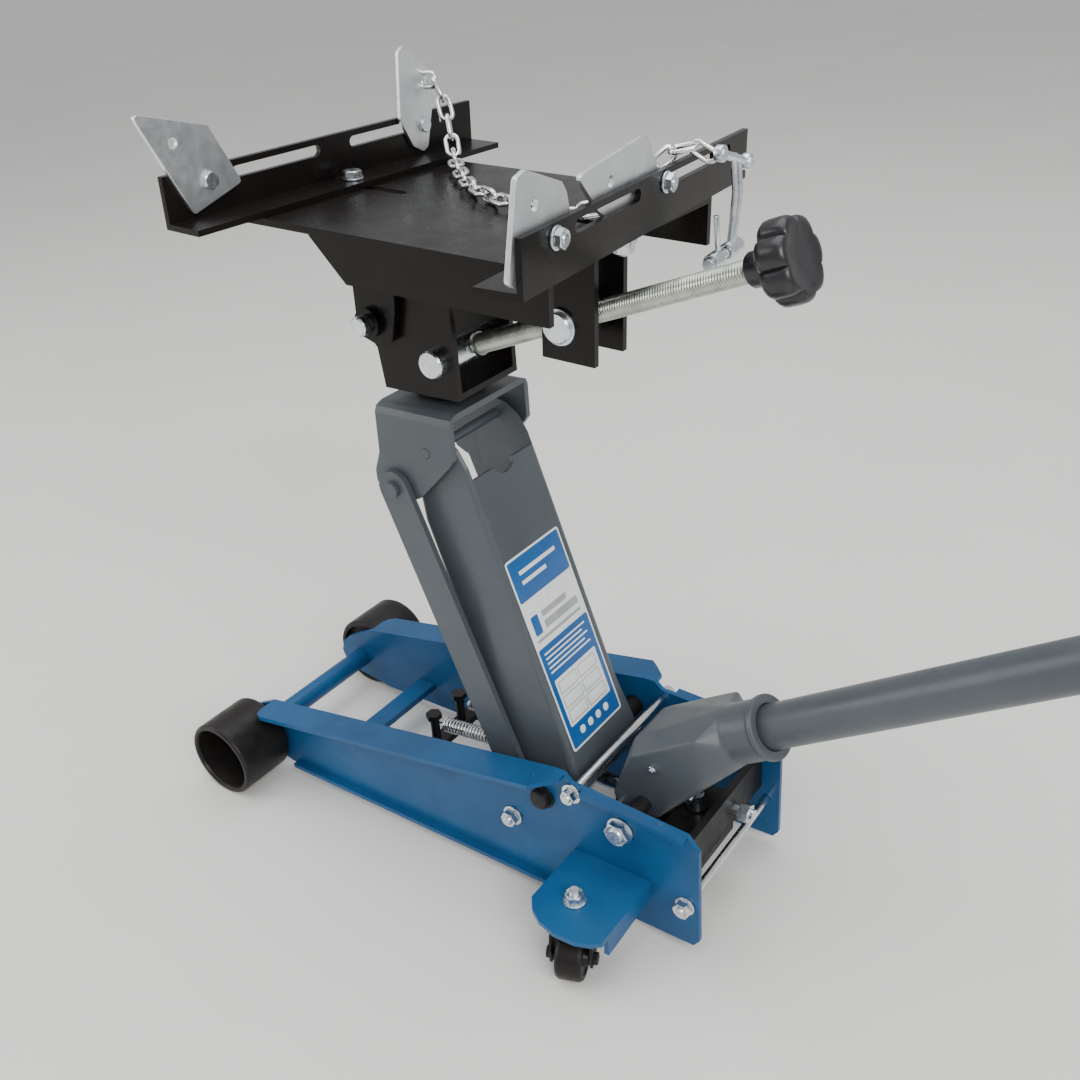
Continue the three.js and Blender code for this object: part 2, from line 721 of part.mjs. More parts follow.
// Screw, its lower trunnion in the adapter yoke and its upper nut in the table's clevis.
const screwAxis = new THREE.Vector3(
  NUT_PIVOT.x - SCREW_PIVOT.x,
  0,
  NUT_PIVOT.z - SCREW_PIVOT.z,
).normalize();
const screwOrigin = new THREE.Vector3(SCREW_PIVOT.x, 0, SCREW_PIVOT.z);
const nutDistance = Math.hypot(NUT_PIVOT.x - SCREW_PIVOT.x, NUT_PIVOT.z - SCREW_PIVOT.z);
const SCREW = { neckR: 8, collarR: 12, threadFrom: 18, threadTo: 297.6, knobTo: 342 };

function alongScrew(from, to, r, sides = ROD_SIDES) {
  return bar(screwOrigin, screwAxis, from, to, r, sides);
}

const swing = group('screw_trunnion_body');
add(
  swing,
  'screw_trunnion',
  cut(rodY(SCREW_PIVOT, 13, -54, 54), alongScrew(-20, 20, SCREW.neckR + GAP)),
  'zinc',
);

const screw = group('screw_body');
add(
  screw,
  'tilt_screw',
  union(
    alongScrew(-20, -14, SCREW.collarR, 6),
    alongScrew(-16, 20, SCREW.neckR),
    alongScrew(14, SCREW.threadFrom, 11),
    alongScrew(SCREW.threadFrom - 1, SCREW.threadTo, SCREW_R),
  ),
  'zinc',
);

const KNOB = { lobes: 7, r: 29.5, wave: 3.5, depth: 26, neckFrom: 298, neckR: 14 };

function lobedKnob() {
  const steps = 6 * KNOB.lobes;
  const outline = [];
  for (let i = 0; i < steps; i += 1) {
    const turn = (2 * Math.PI * i) / steps;
    const r = KNOB.r + KNOB.wave * Math.cos(KNOB.lobes * turn);
    outline.push([r * Math.cos(turn), r * Math.sin(turn)]);
  }
  const across = new THREE.Vector3(0, 1, 0);
  const upward = new THREE.Vector3().crossVectors(screwAxis, across);
  const disc = prism(outline, SCREW.knobTo - KNOB.depth, SCREW.knobTo, across, upward);
  const place = new THREE.Matrix4().makeTranslation(screwOrigin.x, 0, screwOrigin.z);
  return union(moved(disc, place), alongScrew(KNOB.neckFrom, SCREW.knobTo - KNOB.depth + 1, KNOB.neckR));
}

add(screw, 'knob', lobedKnob(), 'plastic');

// ---------------------------------------------------------------- tilting table
const table = group('table');

function tilted(solid) {
  return turnedAbout(solid, Y_AXIS, TABLE_SLOPE, TILT_PIVOT.x, 0, TILT_PIVOT.z);
}

const underside = TABLE.top - TABLE.sheet;
// The nut's place in the untilted table.
const nutLevel = new THREE.Vector3(NUT_PIVOT.x - TILT_PIVOT.x, 0, NUT_PIVOT.z - TILT_PIVOT.z)
  .applyAxisAngle(Y_AXIS, -THREE.MathUtils.degToRad(TABLE_SLOPE));
const NUT_LEVEL = { x: TILT_PIVOT.x + nutLevel.x, z: TILT_PIVOT.z + nutLevel.z };
const CLEVIS = [[427, underside + 1], [427, 557], [479, 557], [479, underside + 1]];
const CLEVIS_Y = { inner: 19, outer: 25 };
const SKIRT = [[268, 663], [268, 661], [304, 626], [TABLE.rear, 626], [TABLE.rear, 663]];
const tableSlot = (x0, x1) => plateXY(slotOutline([x0, 0], [x1, 0], 5.6, 8), 650, 680);
const clevis = (side) => plateXZ(CLEVIS, ...ySpan(side, CLEVIS_Y.inner, CLEVIS_Y.outer), [
  { ...NUT_LEVEL, r: 13.5 + GAP },
]);
const skirt = (side) => plateXZ(SKIRT, ...ySpan(side, TABLE.half - TABLE.sheet, TABLE.half));
add(
  table,
  'table_plate',
  tilted(
    cut(
      union(
        box(TABLE.front, TABLE.rear, -TABLE.half, TABLE.half, underside, TABLE.top),
        skirt(-1),
        skirt(1),
        clevis(-1),
        clevis(1),
      ),
      tableSlot(204, 262),
      tableSlot(428, 491),
    ),
  ),
  'black',
);

const TABLE_EAR = [
  [240, underside - GAP], [242, 562], [252, 548], [268, 543], [283, 551], [289, 580],
  [292, underside - GAP],
];

bothSides((side, name) => {
  const ear = union(
    plateXZ(TABLE_EAR, ...ySpan(side, 46, 52)),
    rodY(TILT_PIVOT, 14, ...ySpan(side, 51, 58), 24),
  );
  const bore = rodY(TILT_PIVOT, 8 + GAP, -70, 70);
  add(table, `table_ear_${name}`, tilted(cut(ear, bore)), 'black');
});

const nut = group('screw_nut_body');
add(
  nut,
  'screw_nut',
  cut(
    union(
      rodY(NUT_PIVOT, 13.5, -CLEVIS_Y.outer - 7, CLEVIS_Y.outer + 7),
      rodY(NUT_PIVOT, 16, -CLEVIS_Y.outer - 3, -CLEVIS_Y.outer - GAP),
      rodY(NUT_PIVOT, 16, CLEVIS_Y.outer + GAP, CLEVIS_Y.outer + 3),
      turnedAbout(
        box(
          NUT_PIVOT.x - 17, NUT_PIVOT.x + 17, -18, 18, NUT_PIVOT.z - 17, NUT_PIVOT.z + 17,
        ),
        Y_AXIS,
        -THREE.MathUtils.radToDeg(Math.atan2(screwAxis.z, screwAxis.x)),
        NUT_PIVOT.x,
        0,
        NUT_PIVOT.z,
      ),
    ),
    alongScrew(nutDistance - 40, nutDistance + 40, SCREW_R + 1.6),
  ),
  'zinc',
);

// Slotted angle bracket. inward is +1 when its foot points towards +X.
function angleBracket({ x, bolt, yaw }, inward) {
  const z0 = TABLE.top + GAP;
  const foot = x + inward * BRACKET.leg;
  const wall = x + inward * BRACKET.sheet;
  const wallRange = [Math.min(x, wall), Math.max(x, wall)];
  const slotZ = z0 + BRACKET.slotZ;
  const slot = (y0, y1) => plateYZ(
    slotOutline([y0, slotZ], [y1, slotZ], 4.8, 8),
    wallRange[0] - 1,
    wallRange[1] + 1,
  );
  const body = union(
    box(Math.min(x, foot), Math.max(x, foot), -BRACKET.half, BRACKET.half, z0, z0 + 5),
    box(...wallRange, -BRACKET.half, BRACKET.half, z0, z0 + BRACKET.height),
  );
  const endHole = (y) => rodX(y, slotZ, 4.8, wallRange[0] - 1, wallRange[1] + 1);
  const drilled = cut(
    body,
    slot(-113, -23),
    slot(23, 113),
    endHole(-145),
    endHole(145),
    rodZ(bolt, 0, 5.6, z0 - 1, z0 + 6),
  );
  return tilted(turnedAbout(drilled, Z_AXIS, yaw, bolt, 0, 0));
}

function bracketBolt(x) {
  const top = TABLE.top + GAP + BRACKET.sheet;
  return tilted(union(
    rodZ(x, 0, 5, 646, top + 2),
    rodZ(x, 0, 9, 648, 657, 6),
    rodZ(x, 0, 11, 656, underside - GAP),
    rodZ(x, 0, 10, top + GAP, top + 2),
    rodZ(x, 0, 9, top + 1.5, top + 8, 6),
  ));
}

add(group('front_bolt_body'), 'front_bracket_bolt', bracketBolt(FRONT_BRACKET.bolt), 'zinc');
add(group('front_bracket_body'), 'front_bracket', angleBracket(FRONT_BRACKET, 1), 'black');
add(group('rear_bolt_body'), 'rear_bracket_bolt', bracketBolt(REAR_BRACKET.bolt), 'zinc');
add(group('rear_bracket_body'), 'rear_bracket', angleBracket(REAR_BRACKET, -1), 'black');

// Corner plates: outlines in Y and Z around the bolt, on the inner face of a bracket.
const SLOT_Z = TABLE.top + GAP + BRACKET.slotZ;
const CORNER_PLATES = {
  front_near: {
    bracket: FRONT_BRACKET,
    y: -145,
    inward: 1,
    outline: [[-62, 61], [-20, -24], [33, -8], [7, 42]],
    hole: [-29, 34],
  },
  front_far: {
    bracket: FRONT_BRACKET,
    y: 113,
    inward: 1,
    outline: [[-20, 73], [-27, 68], [-31, 8], [-16, -18], [-2, -25], [5, -21], [21, 42]],
    hole: [6, 38],
  },
  rear_near: {
    bracket: REAR_BRACKET,
    y: -145,
    inward: -1,
    outline: [
      [-51, -18], [-44, -23], [30, -23], [33, 0], [26, 24], [20, 32], [-25, 49], [-37, 46],
    ],
    hole: [-16, 16],
  },
  rear_far: {
    bracket: REAR_BRACKET,
    y: 23,
    inward: -1,
    outline: [
      [-126, 30], [-98, 0], [-66, -21], [0, -14], [12, -6], [12, 4], [-3, 12], [-20, 37], [-29, 39],
    ],
    hole: [-79, 17],
  },
};

for (const [name, plate] of Object.entries(CORNER_PLATES)) {
  const { bracket, y, inward, outline, hole } = plate;
  const wall = bracket.x + inward * BRACKET.sheet;
  const near = wall + inward * GAP;
  const far = near + inward * 4;
  const points = outline.map(([u, v]) => [y + u, SLOT_Z + v]);
  const span = (a, b) => [Math.min(a, b), Math.max(a, b)];
  const spareHole = { u: y + hole[0], v: SLOT_Z + hole[1], r: 4.5 };
  const outside = bracket.x - inward * GAP;
  const inside = far;
  const solid = union(
    plateYZ(points, ...span(near, far), [spareHole]),
    rodX(y, SLOT_Z, 4, ...span(outside - inward * 9, inside + inward * 3)),
    rodX(y, SLOT_Z, 8.5, ...span(outside, outside - inward * 2)),
    rodX(y, SLOT_Z, 7.5, ...span(outside - inward * 1.5, outside - inward * 8), 6),
    rodX(y, SLOT_Z, 7.5, ...span(inside - inward, inside + inward * 4)),
  );
  const placed = tilted(turnedAbout(solid, Z_AXIS, bracket.yaw, bracket.bolt, 0, 0));
  add(group(`corner_plate_body_${name}`), `corner_plate_${name}`, placed, 'zinc');
}

// Holding chain, as a plain tube along its route, and the tensioner it hooks onto.
const CHAIN_R = 7;
const CHAIN_ROUTE = [
  [216, 119, 742], [228, 117, 722], [236, 112, 698], [246, 102, 680], [264, 82, 676],
  [290, 56, 674], [337, 16, 672], [384, -4, 669.5], [430, -13, 667.5], [462, 0, 667],
  [478, 18, 671], [490, 36, 682], [499, 50, 697], [512, 62, 707], [526, 70, 705], [534, 74, 697],
].map(([x, y, z]) => new THREE.Vector3(x, y, z));

function chainTube() {
  const section = new THREE.Shape();
  section.absarc(0, 0, CHAIN_R, 0, 2 * Math.PI);
  return toSolid(new THREE.ExtrudeGeometry(section, {
    extrudePath: new THREE.CatmullRomCurve3(CHAIN_ROUTE, false, 'centripetal'),
    steps: 30,
    curveSegments: 3,
  }));
}

function strut([x0, y0, z0], [x1, y1, z1], r) {
  const from = new THREE.Vector3(x0, y0, z0);
  const span = new THREE.Vector3(x1, y1, z1).sub(from);
  const length = span.length();
  return bar(from, span.normalize(), 0, length, r, 8);
}

add(table, 'chain', chainTube(), 'zinc');
add(
  groups.rear_bracket_body,
  'chain_tensioner',
  union(
    strut([547, 62, 703], [547, 108, 688], 3.5),
    strut([547, 86, 697], [547, 78, 622], 4),
    strut([547, 42, 621], [547, 94, 625], 6),
    strut([547, 47, 621], [547, 46, 657], 3),
  ),
  'zinc',
);

// The row's origin is the middle of the bounding box, on the floor.
const extent = new THREE.Box3().setFromObject(jack);
jack.position.x = -(extent.min.x + extent.max.x) / 2;
jack.position.y = -(extent.min.y + extent.max.y) / 2;
jack.position.z = -extent.min.z;

export default jack;
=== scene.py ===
"""Looks of the transmission jack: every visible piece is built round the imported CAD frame."""
from math import cos, hypot, pi, radians, sin, tan

import bmesh
import bpy
from mathutils import Matrix, Vector


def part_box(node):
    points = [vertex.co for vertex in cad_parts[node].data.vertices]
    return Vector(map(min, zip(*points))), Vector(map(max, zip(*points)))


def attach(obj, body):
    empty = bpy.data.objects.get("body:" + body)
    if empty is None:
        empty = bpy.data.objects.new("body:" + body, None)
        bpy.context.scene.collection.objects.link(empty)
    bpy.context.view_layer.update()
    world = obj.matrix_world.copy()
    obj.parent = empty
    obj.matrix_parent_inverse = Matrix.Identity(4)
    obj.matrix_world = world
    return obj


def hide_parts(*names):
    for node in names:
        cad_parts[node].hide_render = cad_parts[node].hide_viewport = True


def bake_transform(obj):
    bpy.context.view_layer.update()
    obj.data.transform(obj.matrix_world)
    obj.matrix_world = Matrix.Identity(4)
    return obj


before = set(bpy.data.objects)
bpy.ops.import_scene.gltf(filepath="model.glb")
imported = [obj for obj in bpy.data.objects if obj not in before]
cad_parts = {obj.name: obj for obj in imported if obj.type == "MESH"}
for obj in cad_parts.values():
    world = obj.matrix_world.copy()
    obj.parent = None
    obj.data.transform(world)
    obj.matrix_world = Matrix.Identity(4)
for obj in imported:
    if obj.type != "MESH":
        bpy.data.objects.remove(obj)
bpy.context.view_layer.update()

# ------------------------------------------------------------------ driving dimensions, in mm
FRONT_AXLE = (25, 45)                    # X and Z in the design frame
PLATE_OUTER = 88
WHEEL = {"inner": 92, "width": 66, "r": 45, "hub_depth": 30}
ARM_PIVOT = (436, 122)
HEAD_PIVOT = (312, 450)
LINK_LOWER = (396, 80)
UPPER_ROD = (471, 141)
LOWER_ROD = (592, 60)
YOKE_PIVOT = (524, 120)
CASTER = {"x": 508, "y": 146, "trail": 20, "r": 23, "shelf_top": 71, "stem": 5}
CASTER_YAW = {"near": -70, "far": 30}
HANDLE_START = (636, 0, 225)
HANDLE_ANGLE = 32
SWIVEL_X = 300
TILT_PIVOT = (259, 565)
SCREW_PIVOT = (324, 534)
NUT_PIVOT = (446, 577.4)
TABLE_SLOPE = 2.86
TABLE_TOP = 668
SIDES = {"near": -1, "far": 1}

# The front axle's middle ties the design frame to the row frame.
low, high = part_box("front_axle")
ORIGIN = (low + high) / 2 - Vector((FRONT_AXLE[0], 0, FRONT_AXLE[1])) / 1000


def at(x, y, z):
    """A design point in millimetres as a row point in metres."""
    return ORIGIN + Vector((x, y, z)) / 1000


X, Y, Z = Vector((1, 0, 0)), Vector((0, 1, 0)), Vector((0, 0, 1))


def linked(name, data):
    """A new object in the scene."""
    obj = bpy.data.objects.new(name, data)
    bpy.context.scene.collection.objects.link(obj)
    return obj


def local_frame(origin, z_axis, x_axis=None):
    """A matrix from local millimetres to the row frame, with local Z along z_axis."""
    z = Vector(z_axis).normalized()
    x = Vector(x_axis) if x_axis is not None else (Z if abs(z.z) < 0.9 else X)
    y = z.cross(x).normalized()
    x = y.cross(z)
    matrix = Matrix((x, y, z)).transposed().to_4x4()
    matrix.translation = origin
    return matrix @ Matrix.Scale(0.001, 4)


DESIGN = Matrix.Translation(ORIGIN) @ Matrix.Scale(0.001, 4)

# ------------------------------------------------------------------ camera and light
FOCAL_MM = 39.1
CAMERA_AZIMUTH, CAMERA_ELEVATION, CAMERA_ROLL = 37.23, 28.58, -4.49
CAMERA_PLACE = (982.57, -780.48, 884.89)


def add_camera():
    azimuth, elevation = radians(CAMERA_AZIMUTH), radians(CAMERA_ELEVATION)
    roll = radians(CAMERA_ROLL)
    back = Vector((
        sin(azimuth) * cos(elevation),
        -cos(azimuth) * cos(elevation),
        sin(elevation),
    ))
    right = (-back).cross(Z).normalized()
    up = right.cross(-back)
    turned_right = cos(roll) * right + sin(roll) * up
    turned_up = cos(roll) * up - sin(roll) * right
    data = bpy.data.cameras.new("camera")
    data.lens = FOCAL_MM
    data.sensor_width = 36
    data.clip_end = 200
    matrix = Matrix((turned_right, turned_up, back)).transposed().to_4x4()
    matrix.translation = at(*CAMERA_PLACE)
    camera = linked("camera", data)
    camera.matrix_world = matrix
    bpy.context.scene.camera = camera


def area_light(name, place, target, size, power, tint=(1, 1, 1)):
    data = bpy.data.lights.new(name, "AREA")
    data.shape = "RECTANGLE"
    data.size, data.size_y = size
    data.energy = power
    data.color = tint
    light = linked(name, data)
    light.location = place
    direction = Vector(target) - Vector(place)
    light.rotation_euler = direction.to_track_quat("-Z", "Y").to_euler()


def add_lights():
    middle = (0, 0, 0.4)
    area_light("key", (2.6, -1.6, 2.6), middle, (2.4, 2.0), 120, (1, 0.99, 0.97))
    area_light("top", (-0.4, 0.2, 3.4), middle, (3.2, 3.2), 80, (0.97, 0.99, 1))
    area_light("side", (-2.8, -1.8, 1.5), middle, (2.0, 2.0), 40, (1, 0.98, 0.95))
    world = bpy.data.worlds.new("studio")
    bpy.context.scene.world = world
    world.use_nodes = True
    background = world.node_tree.nodes["Background"]
    background.inputs["Color"].default_value = (0.86, 0.87, 0.88, 1)
    background.inputs["Strength"].default_value = 0.7


add_camera()
add_lights()


# ------------------------------------------------------------------ materials
def new_material(name):
    material = bpy.data.materials.new(name)
    material.use_nodes = True
    return material, material.node_tree, material.node_tree.nodes["Principled BSDF"]


def noise(tree, scale, detail=4, roughness=0.5):
    coordinate = tree.nodes.new("ShaderNodeTexCoord")
    texture = tree.nodes.new("ShaderNodeTexNoise")
    texture.inputs["Scale"].default_value = scale
    texture.inputs["Detail"].default_value = detail
    texture.inputs["Roughness"].default_value = roughness
    tree.links.new(coordinate.outputs["Object"], texture.inputs["Vector"])
    return texture.outputs["Fac"]


def ramp(tree, value, stops):
    node = tree.nodes.new("ShaderNodeValToRGB")
    elements = node.color_ramp.elements
    while len(elements) < len(stops):
        elements.new(0.5)
    for element, (position, color) in zip(elements, stops):
        element.position = position
        element.color = (*color, 1)
    tree.links.new(value, node.inputs["Fac"])
    return node.outputs["Color"]


def spread(tree, value, low, high, from_low=0.3, from_high=0.7):
    node = tree.nodes.new("ShaderNodeMapRange")
    node.inputs["From Min"].default_value = from_low
    node.inputs["From Max"].default_value = from_high
    node.inputs["To Min"].default_value = low
    node.inputs["To Max"].default_value = high
    tree.links.new(value, node.inputs["Value"])
    return node.outputs["Result"]


def bump(tree, shader, value, strength, distance):
    node = tree.nodes.new("ShaderNodeBump")
    node.inputs["Strength"].default_value = strength
    node.inputs["Distance"].default_value = distance
    tree.links.new(value, node.inputs["Height"])
    tree.links.new(node.outputs["Normal"], shader.inputs["Normal"])


def mixed(tree, factor, first, second):
    node = tree.nodes.new("ShaderNodeMix")
    node.data_type = "RGBA"
    tree.links.new(factor, node.inputs["Factor"])
    for socket, value in ((node.inputs[6], first), (node.inputs[7], second)):
        if isinstance(value, tuple):
            socket.default_value = (*value, 1)
        else:
            tree.links.new(value, socket)
    return node.outputs[2]


def dust_on_top(tree, color, amount):
    """Lays a thin pale dust on upward faces."""
    geometry = tree.nodes.new("ShaderNodeNewGeometry")
    split = tree.nodes.new("ShaderNodeSeparateXYZ")
    tree.links.new(geometry.outputs["Normal"], split.inputs["Vector"])
    upward = spread(tree, split.outputs["Z"], 0, 1, 0.55, 1)
    patches = spread(tree, noise(tree, 38, 6, 0.65), 0.15, 1, 0.35, 0.75)
    product = tree.nodes.new("ShaderNodeMath")
    product.operation = "MULTIPLY"
    tree.links.new(upward, product.inputs[0])
    tree.links.new(patches, product.inputs[1])
    scaled = tree.nodes.new("ShaderNodeMath")
    scaled.operation = "MULTIPLY"
    scaled.inputs[1].default_value = amount
    tree.links.new(product.outputs[0], scaled.inputs[0])
    return mixed(tree, scaled.outputs[0], color, (0.42, 0.40, 0.37))


def paint(name, dark, light, rough, dust, coat=0.0, peel=0.12, chips=None, specular=0.45):
    """Sprayed paint: drifting tone, orange peel, dust, and chips of another colour."""
    material, tree, shader = new_material(name)
    color = ramp(tree, noise(tree, 9, 5, 0.6), [(0.32, dark), (0.68, light)])
    if chips:
        spots = spread(tree, noise(tree, 210, 3, 0.7), 0, 1, 0.735, 0.745)
        color = mixed(tree, spots, color, chips)
    color = dust_on_top(tree, color, dust)
    tree.links.new(color, shader.inputs["Base Color"])
    tree.links.new(
        spread(tree, noise(tree, 26, 6, 0.6), rough[0], rough[1]), shader.inputs["Roughness"]
    )
    shader.inputs["Specular IOR Level"].default_value = specular
    shader.inputs["Coat Weight"].default_value = coat
    shader.inputs["Coat Roughness"].default_value = 0.18
    bump(tree, shader, noise(tree, 900, 3, 0.55), peel, 0.0006)
    return material


def plated(name, dark, light, rough, grain=420):
    """Zinc or steel: bright metal with cloudy tone and fine grain."""
    material, tree, shader = new_material(name)
    clouds = ramp(tree, noise(tree, 55, 5, 0.62), [(0.3, dark), (0.7, light)])
    tree.links.new(clouds, shader.inputs["Base Color"])
    tree.links.new(
        spread(tree, noise(tree, 130, 5, 0.6), rough[0], rough[1]), shader.inputs["Roughness"]
    )
    shader.inputs["Metallic"].default_value = 1.0
    bump(tree, shader, noise(tree, grain, 4, 0.6), 0.1, 0.0004)
    return material


def moulded(name, dark, light, rough, texture_scale, depth, specular=0.4):
    """Plastic or rubber with a moulded skin."""
    material, tree, shader = new_material(name)
    tone = ramp(tree, noise(tree, 30, 5, 0.6), [(0.3, dark), (0.7, light)])
    tree.links.new(dust_on_top(tree, tone, 0.03), shader.inputs["Base Color"])
    shader.inputs["Specular IOR Level"].default_value = specular
    tree.links.new(
        spread(tree, noise(tree, 70, 5, 0.6), rough[0], rough[1]), shader.inputs["Roughness"]
    )
    bump(tree, shader, noise(tree, texture_scale, 4, 0.6), depth, 0.0006)
    return material


M = {
    "blue": paint(
        "frame_blue_paint", (0.002, 0.052, 0.15), (0.003, 0.088, 0.235), (0.32, 0.48), 0.015,
        coat=0.12, chips=(0.22, 0.27, 0.3), specular=0.3,
    ),
    "grey": paint(
        "lever_grey_paint", (0.046, 0.057, 0.067), (0.062, 0.076, 0.088), (0.36, 0.5), 0.06,
        coat=0.15,
    ),
    # The faint warm brown in this black is painted reflection of brown surroundings, not the paint's
    # own colour.
    "black": paint(
        "adapter_black_paint", (0.004, 0.0034, 0.003), (0.009, 0.007, 0.006), (0.2, 0.34), 0.01,
        coat=0.06, peel=0.16, specular=0.16,
    ),
    "dark": paint(
        "dark_steel_paint", (0.006, 0.006, 0.007), (0.013, 0.012, 0.012), (0.35, 0.55), 0.015,
        specular=0.25,
    ),
    "sheet": plated("zinc_sheet", (0.66, 0.7, 0.73), (0.78, 0.8, 0.82), (0.34, 0.46), 600),
    "zinc": plated("zinc_plate", (0.55, 0.6, 0.66), (0.8, 0.83, 0.86), (0.2, 0.36)),
    "steel": plated("bright_steel", (0.66, 0.67, 0.68), (0.88, 0.88, 0.87), (0.16, 0.3)),
    "screw": plated("screw_zinc", (0.33, 0.36, 0.31), (0.55, 0.57, 0.5), (0.28, 0.45)),
    "brass": plated("raceway_zinc", (0.52, 0.46, 0.36), (0.72, 0.68, 0.58), (0.3, 0.5)),
    "wheel": moulded(
        "wheel_plastic_black", (0.006, 0.005, 0.005), (0.013, 0.011, 0.01), (0.3, 0.5), 500, 0.15, 0.25
    ),
    "knob": moulded(
        "knob_plastic", (0.008, 0.008, 0.01), (0.015, 0.015, 0.018), (0.22, 0.38), 700, 0.18, 0.5
    ),
    "rubber": moulded(
        "grip_rubber_black", (0.010, 0.010, 0.010), (0.02, 0.02, 0.02), (0.55, 0.75), 900, 0.3
    ),
    "label_blue": moulded(
        "label_blue_ink", (0.006, 0.085, 0.28), (0.008, 0.105, 0.33), (0.25, 0.36), 60, 0.05
    ),
    "label_white": moulded(
        "label_white_film", (0.72, 0.74, 0.76), (0.8, 0.81, 0.82), (0.25, 0.36), 60, 0.05
    ),
    "label_grey": moulded(
        "label_grey_ink", (0.3, 0.31, 0.32), (0.38, 0.39, 0.4), (0.25, 0.36), 60, 0.05
    ),
}


# ------------------------------------------------------------------ mesh building
def fillet(points, radius, steps=4, closed=True):
    """Rounds an outline's corners. radius is one size, or one for each corner."""
    rounded = []
    count = len(points)
    for i, point in enumerate(points):
        size = radius[i] if isinstance(radius, (list, tuple)) else radius
        corner = Vector(point)
        if size <= 0 or (not closed and i in (0, count - 1)):
            rounded.append(tuple(corner))
            continue
        before = Vector(points[i - 1]) - corner
        after = Vector(points[(i + 1) % count]) - corner
        angle = before.angle(after)
        if angle > radians(178):
            rounded.append(tuple(corner))
            continue
        reach = min(size / tan(angle / 2), 0.48 * before.length, 0.48 * after.length)
        start = corner + before.normalized() * reach
        end = corner + after.normalized() * reach
        for k in range(steps + 1):
            s = k / steps
            rounded.append(tuple((1 - s) ** 2 * start + 2 * s * (1 - s) * corner + s * s * end))
    return rounded


def winding(outline):
    """1 for an outline that runs anticlockwise, -1 for a clockwise one."""
    area = 0
    for (x0, y0), (x1, y1) in zip(outline, outline[1:] + outline[:1]):
        area += x0 * y1 - x1 * y0
    return 1 if area > 0 else -1


def rings_to_faces(bm, rings, closed=False):
    pairs = list(zip(rings, rings[1:]))
    if closed:
        pairs.append((rings[-1], rings[0]))
    for first, second in pairs:
        for i in range(len(first)):
            j = (i + 1) % len(first)
            corners = list(dict.fromkeys([first[i], first[j], second[j], second[i]]))
            if len(corners) > 2:
                bm.faces.new(corners)


def pole(bm, matrix, z, steps):
    """A ring that has shrunk to one vertex on local Z."""
    return [bm.verts.new(matrix @ Vector((0, 0, z)))] * steps


def ring_of(bm, matrix, steps, place):
    """A ring about local Z. place(i) gives vertex i its radius and height."""
    ring = []
    for i in range(steps):
        r, z = place(i)
        turn = 2 * pi * i / steps
        ring.append(bm.verts.new(matrix @ Vector((r * cos(turn), r * sin(turn), z))))
    return ring


def lathe(bm, matrix, profile, steps=40, closed=False):
    """Turns a profile of (radius, height) points about local Z."""
    rings = []
    for r, z in profile:
        if r < 1e-6:
            rings.append(pole(bm, matrix, z, steps))
        else:
            rings.append(ring_of(bm, matrix, steps, lambda i: (r, z)))
    rings_to_faces(bm, rings, closed)


def turned_bar(bm, matrix, r, z0, z1, edge=0.8, steps=36):
    """A round bar with softened ends."""
    outline = fillet([(0, z0), (r, z0), (r, z1), (0, z1)], edge, 3, closed=False)
    lathe(bm, matrix, outline, steps)


def ring_piece(bm, matrix, inner, outer, z0, z1, edge=0.4, steps=40):
    """A washer, a tube or a sleeve."""
    outline = fillet([(inner, z0), (outer, z0), (outer, z1), (inner, z1)], edge, 2)
    lathe(bm, matrix, outline, steps, closed=True)


def hexagon(bm, matrix, flats, z0, z1, bore=0.0, steps=36):
    """A hexagon head or nut with its corners chamfered at both ends."""
    def reach(i):
        turn = (360 * i / steps + 30) % 60 - 30
        return flats / cos(radians(turn))

    levels = [
        lambda i: (flats * 0.96, z0),
        lambda i: (reach(i), z0 + 0.3 + (reach(i) - flats) * 0.45),
        lambda i: (reach(i), z1 - 0.3 - (reach(i) - flats) * 0.45),
        lambda i: (flats * 0.96, z1),
    ]
    if bore:
        levels = [lambda i: (bore, z0 + 0.6)] + levels + [lambda i: (bore, z1 - 0.6)]
    rings = [ring_of(bm, matrix, steps, level) for level in levels]
    if bore:
        rings_to_faces(bm, rings, closed=True)
        return
    ends = [pole(bm, matrix, z, steps) for z in (z0, z1)]
    rings_to_faces(bm, [ends[0]] + rings + [ends[1]])


def thread(bm, matrix, r, z0, z1, pitch, depth, steps=16, samples=4):
    """A helical thread as one closed skin."""
    count = int((z1 - z0) / pitch * samples)
    rings = [pole(bm, matrix, z0, steps)]
    for k in range(count + 1):
        z = z0 + (z1 - z0) * k / count

        def place(i):
            phase = ((z - z0) / pitch - i / steps) % 1
            groove = 1 if k in (0, count) else abs(2 * phase - 1)
            return r - depth * groove, z

        rings.append(ring_of(bm, matrix, steps, place))
    rings.append(pole(bm, matrix, z1, steps))
    rings_to_faces(bm, rings)


def sweep(bm, points, r, sides=8, closed=False):
    """A round wire along points given in the row frame, in metres; r in millimetres."""
    points = [Vector(p) for p in points]
    count = len(points)
    size = r / 1000
    rings = []
    tangent = (points[1] - points[-1 if closed else 0]).normalized()
    normal = tangent.orthogonal().normalized()
    for i, point in enumerate(points):
        before = points[i - 1] if closed or i else point
        after = points[(i + 1) % count] if closed or i < count - 1 else point
        direction = (after - before).normalized()
        normal = (normal - direction * normal.dot(direction)).normalized()
        side = direction.cross(normal)
        ring = []
        for k in range(sides):
            turn = 2 * pi * k / sides
            ring.append(bm.verts.new(point + size * (cos(turn) * normal + sin(turn) * side)))
        rings.append(ring)
    if not closed:
        rings.insert(0, [bm.verts.new(points[0])] * sides)
        rings.append([bm.verts.new(points[-1])] * sides)
        rings_to_faces(bm, rings)
        return
    first, last = rings[0], rings[-1]
    offset = min(range(sides), key=lambda k: (first[k].co - last[0].co).length)
    shifted = first[offset:] + first[:offset]
    rings_to_faces(bm, rings + [shifted])


